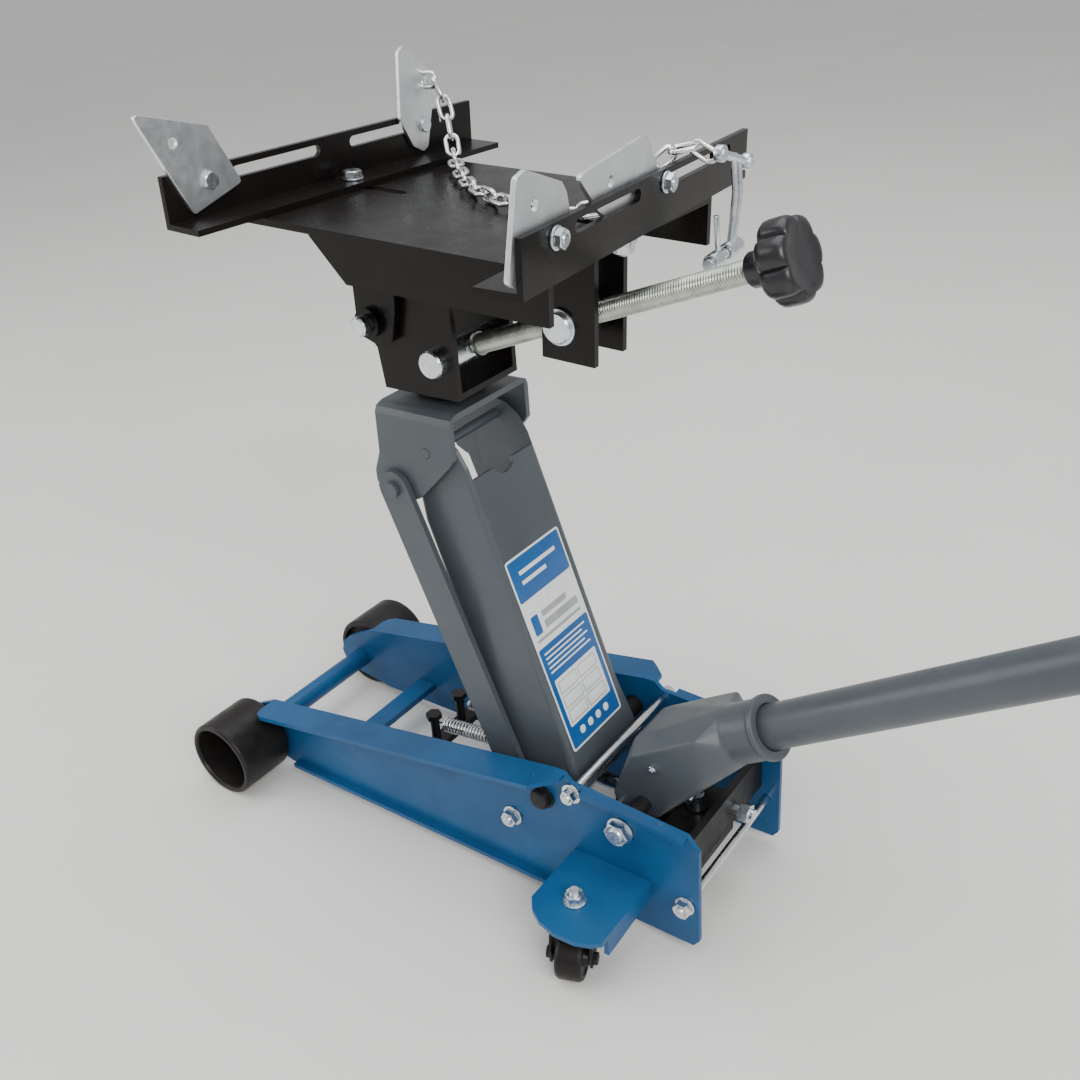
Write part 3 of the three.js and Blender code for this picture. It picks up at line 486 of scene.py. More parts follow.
def rounded_rim(radius, z0, z1, steps):
    """How far in an outline lies at each height, on a plate with round rims."""
    levels = []
    for k in range(steps + 1):
        turn = pi / 2 * k / steps
        levels.append((radius * (1 - sin(turn)), z0 + radius * (1 - cos(turn))))
    return levels + [(amount, z1 + z0 - z) for amount, z in reversed(levels)]


def slab(bm, matrix, outline, z0, z1, edge=0.6):
    """A flat plate with softened rims, from an outline in local X and Y."""
    def inset(points, amount):
        result = []
        count = len(points)
        sign = winding(points)
        for i in range(count):
            before = Vector(points[i]) - Vector(points[i - 1])
            after = Vector(points[(i + 1) % count]) - Vector(points[i])
            if before.length < 1e-6 or after.length < 1e-6:
                before = after = before + after
            way = before.normalized() + after.normalized()
            inward = Vector((-way.y, way.x)).normalized() * sign
            half = max(0.5, inward.dot(Vector((-before.y, before.x)).normalized() * sign))
            result.append(tuple(Vector(points[i]) + inward * (amount / half)))
        return result

    rings = []
    for amount, z in rounded_rim(edge, z0, z1, 3):
        points = inset(outline, amount) if amount > 1e-6 else outline
        rings.append([bm.verts.new(matrix @ Vector((x, y, z))) for x, y in points])
    rings_to_faces(bm, rings)
    bm.faces.new(list(reversed(rings[0])))
    bm.faces.new(rings[-1])


def solid(name, bm):
    """Turns a bmesh into a linked object and frees it."""
    bmesh.ops.recalc_face_normals(bm, faces=bm.faces)
    mesh = bpy.data.meshes.new(name)
    bm.to_mesh(mesh)
    bm.free()
    return linked(name, mesh)


def free_piece(name, bm, material, replaces=()):
    """A piece that isn't ridden yet, which stands for the CAD nodes in replaces."""
    obj = solid(name, bm)
    obj.data.shade_smooth()
    obj.data.materials.append(M[material])
    if replaces:
        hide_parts(*replaces)
    return obj


def piece(name, bm, body, material, replaces=(), crease=32):
    """A piece that rides its CAD body."""
    obj = free_piece(name, bm, material, replaces)
    obj.data.set_sharp_from_angle(angle=radians(crease))
    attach(obj, body)
    return obj


def applied(obj):
    """Bakes an object's modifiers into its mesh."""
    graph = bpy.context.evaluated_depsgraph_get()
    mesh = bpy.data.meshes.new_from_object(obj.evaluated_get(graph))
    obj.modifiers.clear()
    obj.data = mesh
    return obj


def carve(obj, *cutters):
    """Cuts plain bmesh solids out of a piece."""
    for bm in cutters:
        tool = solid("cutter", bm)
        modifier = obj.modifiers.new("carve", "BOOLEAN")
        modifier.operation = "DIFFERENCE"
        modifier.solver = "EXACT"
        modifier.object = tool
        applied(obj)
        bpy.data.objects.remove(tool)
    return obj


# ------------------------------------------------------------------ carried CAD nodes
KEPT = {
    "blue": [
        "side_plate_near", "side_plate_far", "cross_bar", "caster_bracket_near",
        "caster_bracket_far",
    ],
    "grey": ["head_bracket", "link_bar_near", "link_bar_far"],
    "black": [
        "adapter_yoke", "table_plate", "table_ear_near", "table_ear_far", "front_bracket",
        "rear_bracket",
    ],
    "dark": [
        "spring_anchor_bar", "hydraulic_unit", "rear_mount_plate", "arm_crank_hub",
        "caster_fork_near", "caster_fork_far",
    ],
    "zinc": ["ram_piston", "pump_plunger", "release_valve"],
}
BEVEL_MM = {"table_plate": 1.2, "adapter_yoke": 1.4, "head_bracket": 1.6, "link_bar_near": 1.6,
            "link_bar_far": 1.6, "hydraulic_unit": 1.5}


def finish_kept_nodes():
    for material, names in KEPT.items():
        for name in names:
            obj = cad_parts[name]
            obj.data.shade_smooth()
            obj.data.set_sharp_from_angle(angle=radians(32))
            obj.data.materials.clear()
            obj.data.materials.append(M[material])
            modifier = obj.modifiers.new("edges", "BEVEL")
            modifier.width = BEVEL_MM.get(name, 0.9) / 1000
            modifier.segments = 3
            modifier.limit_method = "ANGLE"
            modifier.angle_limit = radians(34)
            modifier.harden_normals = True


finish_kept_nodes()


# ------------------------------------------------------------------ rods, nuts and bolts
def across(x, z, side=1):
    """A local frame on an axle across the jack, with local Z pointing out on one side."""
    return local_frame(at(x, 0, z), Y * side)


def washer_and_nut(bm, matrix, r, flats, seat):
    """A washer, a hexagon nut and the thread end that stands out of it."""
    ring_piece(bm, matrix, r + 0.2, r + 6, seat + 0.3, seat + 2.3)
    hexagon(bm, matrix, flats, seat + 2.5, seat + 10.5, bore=r * 0.98)
    thread(bm, matrix, r, seat + 3, seat + 13, 1.5, 0.55)


def nuts(bm, place, r, flats, seat=PLATE_OUTER):
    """A washer and a nut on both ends of a shaft."""
    for side in SIDES.values():
        washer_and_nut(bm, across(*place, side), r, flats, seat)


def tie_rod(name, place, r, flats, node):
    bm = bmesh.new()
    turned_bar(bm, across(*place), r, -PLATE_OUTER - 2, PLATE_OUTER + 2)
    nuts(bm, place, r, flats)
    piece(name, bm, "chassis", "steel", [node])


M8_NUT, M10_NUT, M16_NUT = 6.9, 7.8, 11.2     # half widths across flats
AXLE_R = 8
ARM_SHAFT = {"r": 10.5, "half": 98}
LINK_BOLT = {"r": 5, "head_r": 8, "head": 59.6, "head_top": 60.6, "spacer": 67.4}
PLATE_INSIDE = 82.7                      # the inner faces of the side plates, less a gap


def chassis_rods():
    tie_rod("upper_rod", UPPER_ROD, 4.5, M8_NUT, "upper_tie_rod")
    tie_rod("lower_rod", LOWER_ROD, 4, M10_NUT, "lower_tie_rod")
    bm = bmesh.new()
    turned_bar(bm, across(*YOKE_PIVOT), AXLE_R, -PLATE_OUTER - 2, PLATE_OUTER + 2)
    piece("yoke_pivot_pin", bm, "chassis", "dark")
    bm = bmesh.new()
    nuts(bm, YOKE_PIVOT, AXLE_R, M16_NUT)
    piece("yoke_pivot_nuts", bm, "chassis", "zinc", ["yoke_pivot_shaft"])


def arm_and_link_pivots():
    bm = bmesh.new()
    r, half = ARM_SHAFT["r"], ARM_SHAFT["half"]
    turned_bar(bm, across(*ARM_PIVOT), r, -half, half, edge=3.5)
    for side in SIDES.values():
        matrix = across(*ARM_PIVOT, side)
        ring_piece(bm, matrix, r - 0.1, r + 2.5, PLATE_OUTER + 0.3, PLATE_OUTER + 2.6)
    piece("arm_pivot_pin", bm, "chassis", "dark", ["arm_pivot_shaft"])
    r, head = LINK_BOLT["r"], LINK_BOLT["head"]
    for name, side in SIDES.items():
        matrix = across(*LINK_LOWER, side)
        bm = bmesh.new()
        turned_bar(bm, matrix, r, head + 0.4, PLATE_OUTER + 2)
        turned_bar(bm, matrix, LINK_BOLT["head_r"], head, LINK_BOLT["head_top"], edge=0.3)
        ring_piece(bm, matrix, r + 0.1, 9, LINK_BOLT["spacer"], PLATE_INSIDE)
        washer_and_nut(bm, matrix, r, M10_NUT, PLATE_OUTER)
        piece(f"link_bolt_lower_{name}", bm, "chassis", "zinc", [f"link_bolt_{name}"])


def front_axle():
    bm = bmesh.new()
    ring_piece(bm, across(*FRONT_AXLE), AXLE_R + 0.3, 12, -PLATE_INSIDE, PLATE_INSIDE, steps=48)
    piece("front_spacer", bm, "chassis", "blue", ["front_spacer_tube"])
    bm = bmesh.new()
    hub_face = WHEEL["inner"] + WHEEL["hub_depth"]
    turned_bar(bm, across(*FRONT_AXLE), AXLE_R, -hub_face - 2, hub_face + 2)
    nuts(bm, FRONT_AXLE, AXLE_R, M16_NUT, hub_face)
    piece("front_axle_bolt", bm, "chassis", "dark", ["front_axle"])


# ------------------------------------------------------------------ wheels and casters
SPOKES = {"count": 6, "half": 1.6, "from": 19.5, "to": 37.8, "low": 25, "high": 32}


def front_wheels():
    depth = WHEEL["hub_depth"]
    outline = [
        (8.4, 4), (16, 4), (16, 10), (38, 10), (38, 0), (43, 0), (45, 3), (45, 63), (43, 66),
        (39.5, 66), (38, 63), (37.5, 26), (20, 26), (19, depth), (8.4, depth),
    ]
    for name, side in SIDES.items():
        matrix = local_frame(at(FRONT_AXLE[0], side * WHEEL["inner"], FRONT_AXLE[1]), Y * side)
        bm = bmesh.new()
        lathe(bm, matrix, fillet(outline, 1.2, 3), 72, closed=True)
        for spoke in range(SPOKES["count"]):
            turn = 2 * pi * spoke / SPOKES["count"]
            way = Vector((cos(turn), sin(turn)))
            off = Vector((-way.y, way.x)) * SPOKES["half"]
            foot, tip = way * SPOKES["from"], way * SPOKES["to"]
            quad = [foot - off, tip - off, tip + off, foot + off]
            slab(bm, matrix, [tuple(p) for p in quad], SPOKES["low"], SPOKES["high"], 0.5)
        piece(f"wheel_{name}", bm, f"front_wheel_{name}_body", "wheel", [f"front_wheel_{name}"])


def casters():
    top, stem = CASTER["shelf_top"], CASTER["stem"]
    race = [(5.2, 59.7), (35, 59.7), (37, 60.6), (38, 62.2), (36.8, 63), (38, 64), (37, 65.6),
            (5.2, 65.6)]
    wheel_outline = [
        (3.4, -16.5), (8, -16.5), (8.6, -11.4), (16, -11.4), (17, -13), (21.2, -12.6),
        (23, -9.6), (23, 9.6), (21.2, 12.6), (17, 13), (16, 11.4), (8.6, 11.4), (8, 16.5),
        (3.4, 16.5),
    ]
    for name, side in SIDES.items():
        stand = local_frame(at(CASTER["x"], side * CASTER["y"], 0), Z, X)
        bm = bmesh.new()
        turned_bar(bm, stand, stem, 53.3, top + 4)
        ring_piece(bm, stand, stem + 0.3, 11, top + 0.3, top + 2.3)
        hexagon(bm, stand, 8.2, top + 2.5, top + 10.5, bore=stem * 0.98)
        thread(bm, stand, stem, top + 3, top + 15, 1.5, 0.55)
        piece(f"caster_bolt_{name}", bm, "chassis", "zinc", [f"caster_stem_{name}"])
        bm = bmesh.new()
        lathe(bm, stand, race, 64, closed=True)
        piece(f"caster_raceway_{name}", bm, "chassis", "brass")
        yaw = radians(CASTER_YAW[name])
        reach = Vector((cos(yaw), sin(yaw), 0)) * CASTER["trail"]
        middle = at(CASTER["x"] + reach.x, side * CASTER["y"] + reach.y, CASTER["r"])
        axle = local_frame(middle, (-sin(yaw), cos(yaw), 0))
        bm = bmesh.new()
        lathe(bm, axle, fillet(wheel_outline, 0.7, 2), 48, closed=True)
        piece(f"caster_tyre_{name}", bm, f"caster_wheel_{name}_body", "wheel",
              [f"caster_wheel_{name}"])


# ------------------------------------------------------------------ springs
def coil(start, end, r, wire, turns, hook):
    """Points of a coil spring with a straight lead at each end."""
    start, end = Vector(start), Vector(end)
    axis = (end - start).normalized()
    side = axis.orthogonal().normalized()
    other = axis.cross(side)
    length = (end - start).length
    points = [start]
    samples = 12
    for i in range(turns * samples + 1):
        share = i / (turns * samples)
        fade = min(1, share * turns * 2, (1 - share) * turns * 2)
        turn = 2 * pi * i / samples
        along = hook + share * (length - 2 * hook)
        radial = (r - wire) / 1000 * fade
        points.append(start + axis * along + radial * (cos(turn) * side + sin(turn) * other))
    points.append(end)
    return points


SPRINGS = {
    "return": {
        "from": (246, 22, 94), "to": (393, 28, 117), "r": 8.4, "wire": 0.95, "turns": 30,
        "hook": 0.009, "body": "lift_arm",
    },
    "handle": {
        "from": (470, 57, 110), "to": (493, 57, 110), "r": 5.4, "wire": 0.9, "turns": 8,
        "hook": 0.002, "body": "handle_yoke_body",
    },
}


def springs():
    for side_name, side in SIDES.items():
        for kind, spring in SPRINGS.items():
            start, end = (at(x, side * y, z) for x, y, z in (spring["from"], spring["to"]))
            wire = spring["wire"]
            bm = bmesh.new()
            sweep(bm, coil(start, end, spring["r"], wire, spring["turns"], spring["hook"]), wire, 6)
            name = f"{kind}_coil_{side_name}"
            obj = free_piece(name, bm, "steel", [f"{kind}_spring_{side_name}"])
            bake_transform(obj)


# ------------------------------------------------------------------ lift arm
ARM_OUTLINE = [
    (462, 108), (350, 437), (340, 454), (326, 464), (310, 467), (298, 461), (289, 446),
    (286, 420), (291, 372), (376, 108), (392, 97), (440, 98),
]
ARM = {"half": 51, "sheet": 5, "rim": 7, "flare": 7.5, "flare_foot": 108, "flare_top": 200}
WEB = {"cut_back": 12, "notch_rise": 8, "notch_r": 18}   # the rear web stops short of the top
SPRING_PIN = (398, 118)


def rounded_block(bm, matrix, outline, half, radius, steps=5):
    """An outline in local X and Y, thick in local Z, with well rounded rims."""
    count = len(outline)
    normals = []
    for i in range(count):
        before = (Vector(outline[i]) - Vector(outline[i - 1])).normalized()
        after = (Vector(outline[(i + 1) % count]) - Vector(outline[i])).normalized()
        way = (before + after).normalized()
        normals.append(Vector((-way.y, way.x)))
    sign = winding(outline)
    rings = []
    for amount, z in rounded_rim(radius, -half, half, steps):
        ring = []
        for point, normal in zip(outline, normals):
            moved = Vector(point) + normal * sign * amount
            ring.append(bm.verts.new(matrix @ Vector((moved.x, moved.y, z))))
        rings.append(ring)
    rings_to_faces(bm, rings)
    bm.faces.new(list(reversed(rings[0])))
    bm.faces.new(rings[-1])


def side_view():
    """A frame whose local X is the design's X and whose local Y is the design's Z."""
    matrix = Matrix((X, Z, -Y)).transposed().to_4x4()
    matrix.translation = ORIGIN
    return matrix @ Matrix.Scale(0.001, 4)


def flare_foot(bm, grow):
    """Widens the arm's foot smoothly towards the floor."""
    for vertex in bm.verts:
        z = (vertex.co.z - ORIGIN.z) * 1000
        if z < ARM["flare_top"]:
            share = min(1, (ARM["flare_top"] - z) / (ARM["flare_top"] - ARM["flare_foot"]))
            share = share * share * (3 - 2 * share)
            vertex.co.y += (grow * share / 1000) * (1 if vertex.co.y > ORIGIN.y else -1)


def subdivided(points, longest):
    """Adds points on an outline's long edges."""
    result = []
    for i, point in enumerate(points):
        following = Vector(points[(i + 1) % len(points)])
        start = Vector(point)
        count = max(1, int((following - start).length / longest))
        for k in range(count):
            result.append(tuple(start.lerp(following, k / count)))
    return result


def lift_arm():
    view = side_view()
    half, sheet = ARM["half"], ARM["sheet"]
    outline = subdivided(fillet(ARM_OUTLINE, 9, 4), 18)
    bm = bmesh.new()
    rounded_block(bm, view, outline, half, ARM["rim"])
    flare_foot(bm, ARM["flare"])
    arm = piece("arm_shell", bm, "lift_arm", "grey", ["arm_channel"])
    rear_foot, rear_top = Vector(ARM_OUTLINE[0]), Vector(ARM_OUTLINE[1])
    along = (rear_top - rear_foot).normalized()
    inward = Vector((-along.y, along.x))
    if inward.x > 0:
        inward = -inward
    inner = [
        tuple(rear_foot + inward * sheet - along * 40),
        tuple(rear_top + inward * sheet + along * 90),
        (200, 560),
        (200, 60),
    ]
    hollow = bmesh.new()
    slab(hollow, view, subdivided(inner, 18), -half + sheet, half - sheet, 0.01)
    flare_foot(hollow, ARM["flare"])
    top, notch = bmesh.new(), bmesh.new()
    edge = rear_top - along * WEB["cut_back"]
    cut = [
        tuple(rear_top + along * 40 - inward * 30), tuple(edge - inward * 30),
        tuple(edge + inward * 14), tuple(rear_top + along * 40 + inward * 14),
    ]
    slab(top, view, cut, sheet - half, half - sheet, 0.01)
    centre = edge + along * WEB["notch_rise"]
    scoop = local_frame(at(centre.x, 0, centre.y), Vector((inward.x, 0, inward.y)), Y)
    lathe(notch, scoop, [(0, -20), (WEB["notch_r"], -20), (WEB["notch_r"], 14), (0, 14)], 48)
    carve(arm, hollow, top, notch)
    arm.data.shade_smooth()
    arm.data.set_sharp_from_angle(angle=radians(30))
    edges = arm.modifiers.new("edges", "BEVEL")
    edges.width = 0.0007
    edges.segments = 2
    edges.limit_method = "ANGLE"
    edges.angle_limit = radians(50)
    bm = bmesh.new()
    turned_bar(bm, across(*SPRING_PIN), 5, -half + 1, half - 1)
    piece("spring_pin", bm, "lift_arm", "zinc")
    label(rear_foot, rear_top)


def label(rear_foot, rear_top):
    """A plain sticker on the arm's rear face: bands, bars and empty boxes, with no lettering."""
    along2 = (rear_top - rear_foot).normalized()
    along = Vector((along2.x, 0, along2.y))
    face = along.cross(Y)
    if face.x < 0:
        face = -face
    start = rear_foot + (rear_top - rear_foot) * 0.13
    shift = -4
    matrix = Matrix((Y, along, Y.cross(along))).transposed().to_4x4()
    out = 1 if Y.cross(along).dot(face) > 0 else -1
    matrix.translation = at(start.x, shift, start.y)
    matrix = matrix @ Matrix.Scale(0.001, 4)
    width, height = 87, 206
    half = width / 2

    def patch(bm, x0, x1, y0, y1, level, corner=0.0):
        points = [(x0, y0), (x1, y0), (x1, y1), (x0, y1)]
        if corner:
            points = fillet(points, corner, 4)
        z0, z1 = sorted((out * (level - 0.12), out * level))
        slab(bm, matrix, points, z0, z1, 0.01)

    base, blue, grey, white = bmesh.new(), bmesh.new(), bmesh.new(), bmesh.new()
    patch(base, -half, half, 0, height, 0.35, 4)
    inner = half - 2.2
    patch(blue, -inner, inner, height - 44, height - 2.2, 0.5, 2.5)
    patch(blue, -inner, inner, 2.2, 112, 0.5, 2.5)
    for row in range(2):
        patch(white, -inner + 12, inner - 12 - 20 * row, height - 19 - 10 * row,
              height - 15 - 10 * row, 0.62)
    patch(grey, -inner + 4, inner - 6, 118, 121, 0.5)
    patch(grey, -inner + 22, inner - 6, 126, 134, 0.5)
    patch(grey, -inner + 22, inner - 20, 138, 144, 0.5)
    patch(blue, -inner + 5, -inner + 16, 125, 145, 0.5, 2)
    for row in range(5):
        patch(white, -inner + 6, inner - 8 - 7 * (row % 2), 84 + 5 * row, 85.8 + 5 * row, 0.62)
    patch(white, -inner + 6, inner - 6, 24, 76, 0.62, 2)
    for row in range(3):
        for column in range(2):
            x0 = -inner + 9 + column * (inner - 8.5)
            patch(grey, x0, x0 + inner - 11.5, 27 + 16 * row, 40 + 16 * row, 0.74, 1.5)
            patch(base, x0 + 1, x0 + inner - 12.5, 28 + 16 * row, 39 + 16 * row, 0.86, 1)
    for dot in range(4):
        middle = -21 + dot * 14
        patch(white, middle - 4, middle + 4, 10, 18, 0.62, 3.6)
    piece("sticker_base", base, "lift_arm", "label_white")
    piece("sticker_blue", blue, "lift_arm", "label_blue")
    piece("sticker_grey", grey, "lift_arm", "label_grey")
    piece("sticker_white", white, "lift_arm", "label_white")


# ------------------------------------------------------------------ handle
def handle_line():
    turn = radians(HANDLE_ANGLE)
    return local_frame(at(*HANDLE_START), (cos(turn), 0, sin(turn)), Y)


YOKE_CHEEK = [
    (489, 118), (493, 107), (538, 107), (544, 118), (577, 214), (543, 188), (509, 170),
]
YOKE_BROW = [(504, 150), (530, 150), (530, 186), (510, 183), (504, 178)]
YOKE_HOLLOW = [
    (470, 80), (585, 80), (585, 124), (540, 124), (559, 180), (548, 182), (517, 163),
    (509, 134), (470, 134),
]
PUMP_LUG = [(546, 150), (547, 112), (562, 112), (566, 120), (571, 168), (556, 168)]
YOKE = {"outer": 45, "inner": 39, "brow": 26, "grain": 0.0017}
SOCKET = {"r": 28.5, "from": -72, "to": -4}


def convex(bm, points):
    """Adds the convex skin of a cloud of points."""
    verts = [bm.verts.new(point) for point in points]
    result = bmesh.ops.convex_hull(bm, input=verts)
    loose = {v for v in result["geom_interior"] if isinstance(v, bmesh.types.BMVert)}
    bmesh.ops.delete(bm, geom=list(loose), context="VERTS")


def handle_yoke():
    view = side_view()
    line = handle_line()
    cloud = []
    for outline, half in ((YOKE_CHEEK, YOKE["outer"]), (YOKE_BROW, YOKE["brow"])):
        cloud += [at(x, side * half, z) for x, z in outline for side in SIDES.values()]
    for k in range(36):
        turn = 2 * pi * k / 36
        for along in (SOCKET["from"], SOCKET["from"] + 30):
            spot = Vector((SOCKET["r"] * cos(turn), SOCKET["r"] * sin(turn), along))
            cloud.append(line @ spot)
    bm = bmesh.new()
    convex(bm, cloud)
    turned_bar(bm, line, SOCKET["r"], SOCKET["from"], SOCKET["to"] - 4, steps=48)
    for side in SIDES.values():
        low, high = sorted((side * 13, side * 18))
        slab(bm, view, PUMP_LUG, low, high, 0.8)
    yoke = piece("yoke_casting", bm, "handle_yoke_body", "grey", ["handle_yoke"])
    grain = yoke.modifiers.new("grain", "REMESH")
    grain.mode = "VOXEL"
    grain.voxel_size = YOKE["grain"]
    soften = yoke.modifiers.new("soften", "SMOOTH")
    soften.factor = 0.5
    soften.iterations = 5
    applied(yoke)
    hollow = bmesh.new()
    slab(hollow, view, subdivided(YOKE_HOLLOW, 14), -YOKE["inner"], YOKE["inner"], 0.01)
    bore = bmesh.new()
    lathe(bore, line, [(0, -66), (21.5, -66), (21.5, 30), (0, 30)], 48)
    carve(yoke, hollow, bore)
    yoke.data.shade_smooth()
    yoke.data.set_sharp_from_angle(angle=radians(38))
    bm = bmesh.new()
    collar = [(21.5, -40), (27.6, -40), (28.4, -34), (28.4, -12), (30.5, -9), (30.5, -4.5),
              (29, -4), (21.5, -4)]
    lathe(bm, line, fillet(collar, 1.5, 3), 56, closed=True)
    piece("yoke_collar", bm, "handle_yoke_body", "grey")
    bm = bmesh.new()
    turned_bar(bm, local_frame(at(556, 0, 119), Y), 5, -20.5, 20.5)
    for side in SIDES.values():
        turned_bar(bm, local_frame(at(497, 0, 110), Y * side), 3, 43, 60)
    piece("yoke_pins", bm, "handle_yoke_body", "zinc")
    bm = bmesh.new()
    head = local_frame(at(535, -YOKE["outer"], 166), -Y, Z)
    hexagon(bm, head, 3.8, -0.4, 3.2)
    turned_bar(bm, head, 2.2, 3, 5)
    piece("yoke_screw", bm, "handle_yoke_body", "zinc")


def handle():
    line = handle_line()
    bm = bmesh.new()
    tube = [(18.5, -64), (21, -64), (21, 694), (18.5, 694)]
    lathe(bm, line, fillet(tube, 0.6, 2), 64, closed=True)
    piece("handle_pipe", bm, "handle", "grey", ["handle_tube"])
    bm = bmesh.new()
    outline = [(21.1, 696), (23.2, 696), (24, 699), (24, 706)]
    for rib in range(15):
        start = 708 + rib * 6.6
        outline += [(24, start), (22.6, start + 1), (22.6, start + 2.2), (24, start + 3.2)]
    outline += [(24, 812), (24, 826), (22, 830.4), (8, 831), (0, 831), (0, 826.4), (21.1, 826.4)]
    lathe(bm, line, outline, 48, closed=True)
    piece("grip_sleeve", bm, "handle", "rubber", ["handle_grip"])


# ------------------------------------------------------------------ head, adapter and screw
def head_and_adapter():
    bm = bmesh.new()
    turned_bar(bm, across(*HEAD_PIVOT), 5, -60.8, 60.8, edge=1)
    piece("head_pivot_pin", bm, "head", "grey", ["head_pin"])
    stand = local_frame(at(SWIVEL_X, 0, 0), Z, X)
    bm = bmesh.new()
    ring_piece(bm, stand, 11, 32, 490.4, 499.6, edge=1, steps=64)
    turned_bar(bm, stand, 11.9, 469, 499)
    hexagon(bm, stand, 16.4, 470, 483)
    piece("swivel_stud", bm, "adapter", "dark", ["adapter_stud"])
    bm = bmesh.new()
    turned_bar(bm, across(*TILT_PIVOT), 8, -66, 66)
    for side in SIDES.values():
        matrix = across(*TILT_PIVOT, side)
        cap = [(0, 59), (8.4, 59), (9, 60), (9, 68.6), (7.6, 70), (0, 70)]
        lathe(bm, matrix, cap, 40)
    piece("tilt_pin_turned", bm, "adapter", "zinc", ["tilt_pin"])
    bm = bmesh.new()
    for side in SIDES.values():
        end = [(0, 30), (13, 30), (13, 52.2), (11.6, 54), (0, 54)]
        lathe(bm, across(*SCREW_PIVOT, side), end, 48)
    turned_bar(bm, across(*SCREW_PIVOT), 13, -31, 31, steps=48)
    piece("lower_trunnion", bm, "screw_trunnion_body", "zinc", ["screw_trunnion"])


def screw_line():
    way = Vector((NUT_PIVOT[0] - SCREW_PIVOT[0], 0, NUT_PIVOT[1] - SCREW_PIVOT[1]))
    return local_frame(at(SCREW_PIVOT[0], 0, SCREW_PIVOT[1]), way, Y)


KNOB = {"r": 33, "groove": 5.5, "lobes": 7}


def screw_and_knob():
    line = screw_line()
    bm = bmesh.new()
    hexagon(bm, line, 10.4, -20, -14.2)
    turned_bar(bm, line, 8, -15, 19)
    ring_piece(bm, line, 7.9, 11, 14, 18)
    thread(bm, line, 9.5, 17, 298, 2.5, 1.0, steps=20, samples=5)
    piece("screw_thread", bm, "screw_body", "screw", ["tilt_screw"])
    bm = bmesh.new()
    steps = 140
    section = [
        (0.0, 316), (0.5, 316), (0.78, 316.4), (0.92, 318), (0.985, 321), (1.0, 324.5),
        (1.0, 334), (0.985, 338), (0.94, 340.8), (0.86, 342), (0.74, 341.8), (0.66, 341),
        (0.3, 341), (0.0, 341),
    ]
    rings = []
    for share, z in section:
        if share == 0:
            rings.append(pole(bm, line, z, steps))
            continue
        lobe = max(0.0, min(1.0, (share - 0.6) / 0.3))

        def place(i):
            wave = abs(cos(KNOB["lobes"] * pi * i / steps)) ** 0.55
            return share * (KNOB["r"] - lobe * KNOB["groove"] * (1 - wave)), z

        rings.append(ring_of(bm, line, steps, place))
    rings_to_faces(bm, rings)
    hub = [(0, 298), (12.5, 298), (13.8, 300), (14, 316.5), (0, 316.5)]
    lathe(bm, line, hub, 40)
    piece("star_knob", bm, "screw_body", "knob", ["knob"], crease=55)
    bm = bmesh.new()
    for side in SIDES.values():
        end = [(0, 17), (13.5, 17), (13.5, 25.3), (16, 25.3), (16, 27.6), (15.4, 28), (13.5, 28),
               (13.5, 30.8), (12.3, 32), (0, 32)]
        lathe(bm, across(*NUT_PIVOT, side), end, 48)
    piece("nut_trunnions", bm, "screw_nut_body", "zinc")
    bm = bmesh.new()
    reach = hypot(NUT_PIVOT[0] - SCREW_PIVOT[0], NUT_PIVOT[1] - SCREW_PIVOT[1])
    square = fillet([(-18, -17), (18, -17), (18, 17), (-18, 17)], 2, 3)
    slab(bm, line, square, reach - 17, reach + 17, 1.5)
    nut = piece("upper_nut", bm, "screw_nut_body", "dark", ["screw_nut"])
    bore = bmesh.new()
    lathe(bore, line, [(0, reach - 40), (11.1, reach - 40), (11.1, reach + 40), (0, reach + 40)], 32)
    carve(nut, bore)


# ------------------------------------------------------------------ table fittings
def level_frame():
    """Design millimetres as they lie before the table is tilted."""
    pivot = Matrix.Translation(Vector((TILT_PIVOT[0], 0, TILT_PIVOT[1])))
    tilt = Matrix.Rotation(radians(TABLE_SLOPE), 4, "Y")
    return DESIGN @ pivot @ tilt @ pivot.inverted()


LEVEL = level_frame()
BRACKETS = {
    "front": {"x": 182, "bolt": 205, "yaw": -2.3, "inward": 1},
    "rear": {"x": 514, "bolt": 490, "yaw": 4, "inward": -1},
}
SLOT_HEIGHT = 700.3
CORNERS = {
    "front_near": (-145, [(-62, 61), (-20, -24), (33, -8), (7, 42)], (-29, 34)),
    "front_far": (113, [(-20, 73), (-27, 68), (-31, 8), (-16, -18), (-2, -25), (5, -21), (21, 42)],
                  (6, 38)),
    "rear_near": (-145, [(-51, -18), (-44, -23), (30, -23), (33, 0), (26, 24), (20, 32),
                         (-25, 49), (-37, 46)], (-16, 25)),
    "rear_far": (23, [(-126, 30), (-98, 0), (-66, -21), (0, -14), (12, -6), (12, 4), (-3, 12),
                      (-20, 37), (-29, 39)], (-79, 17)),
}


def bracket_frame(bracket):
    """The level frame turned with a bracket about its bolt."""
    bolt = Matrix.Translation(Vector((bracket["bolt"], 0, 0)))
    return LEVEL @ bolt @ Matrix.Rotation(radians(bracket["yaw"]), 4, "Z") @ bolt.inverted()


def bracket_bolts():
    top = TABLE_TOP + 5.3
    for name, bracket in BRACKETS.items():
        stand = LEVEL @ Matrix.Translation(Vector((bracket["bolt"], 0, 0)))
        bm = bmesh.new()
        turned_bar(bm, stand, 5, 655, top + 2)
        thread(bm, stand, 5, 646.2, 656, 1.5, 0.55)
        hexagon(bm, stand, 7.8, 648, 656, bore=4.9)
        ring_piece(bm, stand, 5.2, 11, 656.4, 661.6)
        ring_piece(bm, stand, 5.2, 10, top + 0.3, top + 2)
        hexagon(bm, stand, 7.8, top + 2.1, top + 8)
        piece(f"bracket_bolt_{name}", bm, f"{name}_bolt_body", "zinc", [f"{name}_bracket_bolt"])


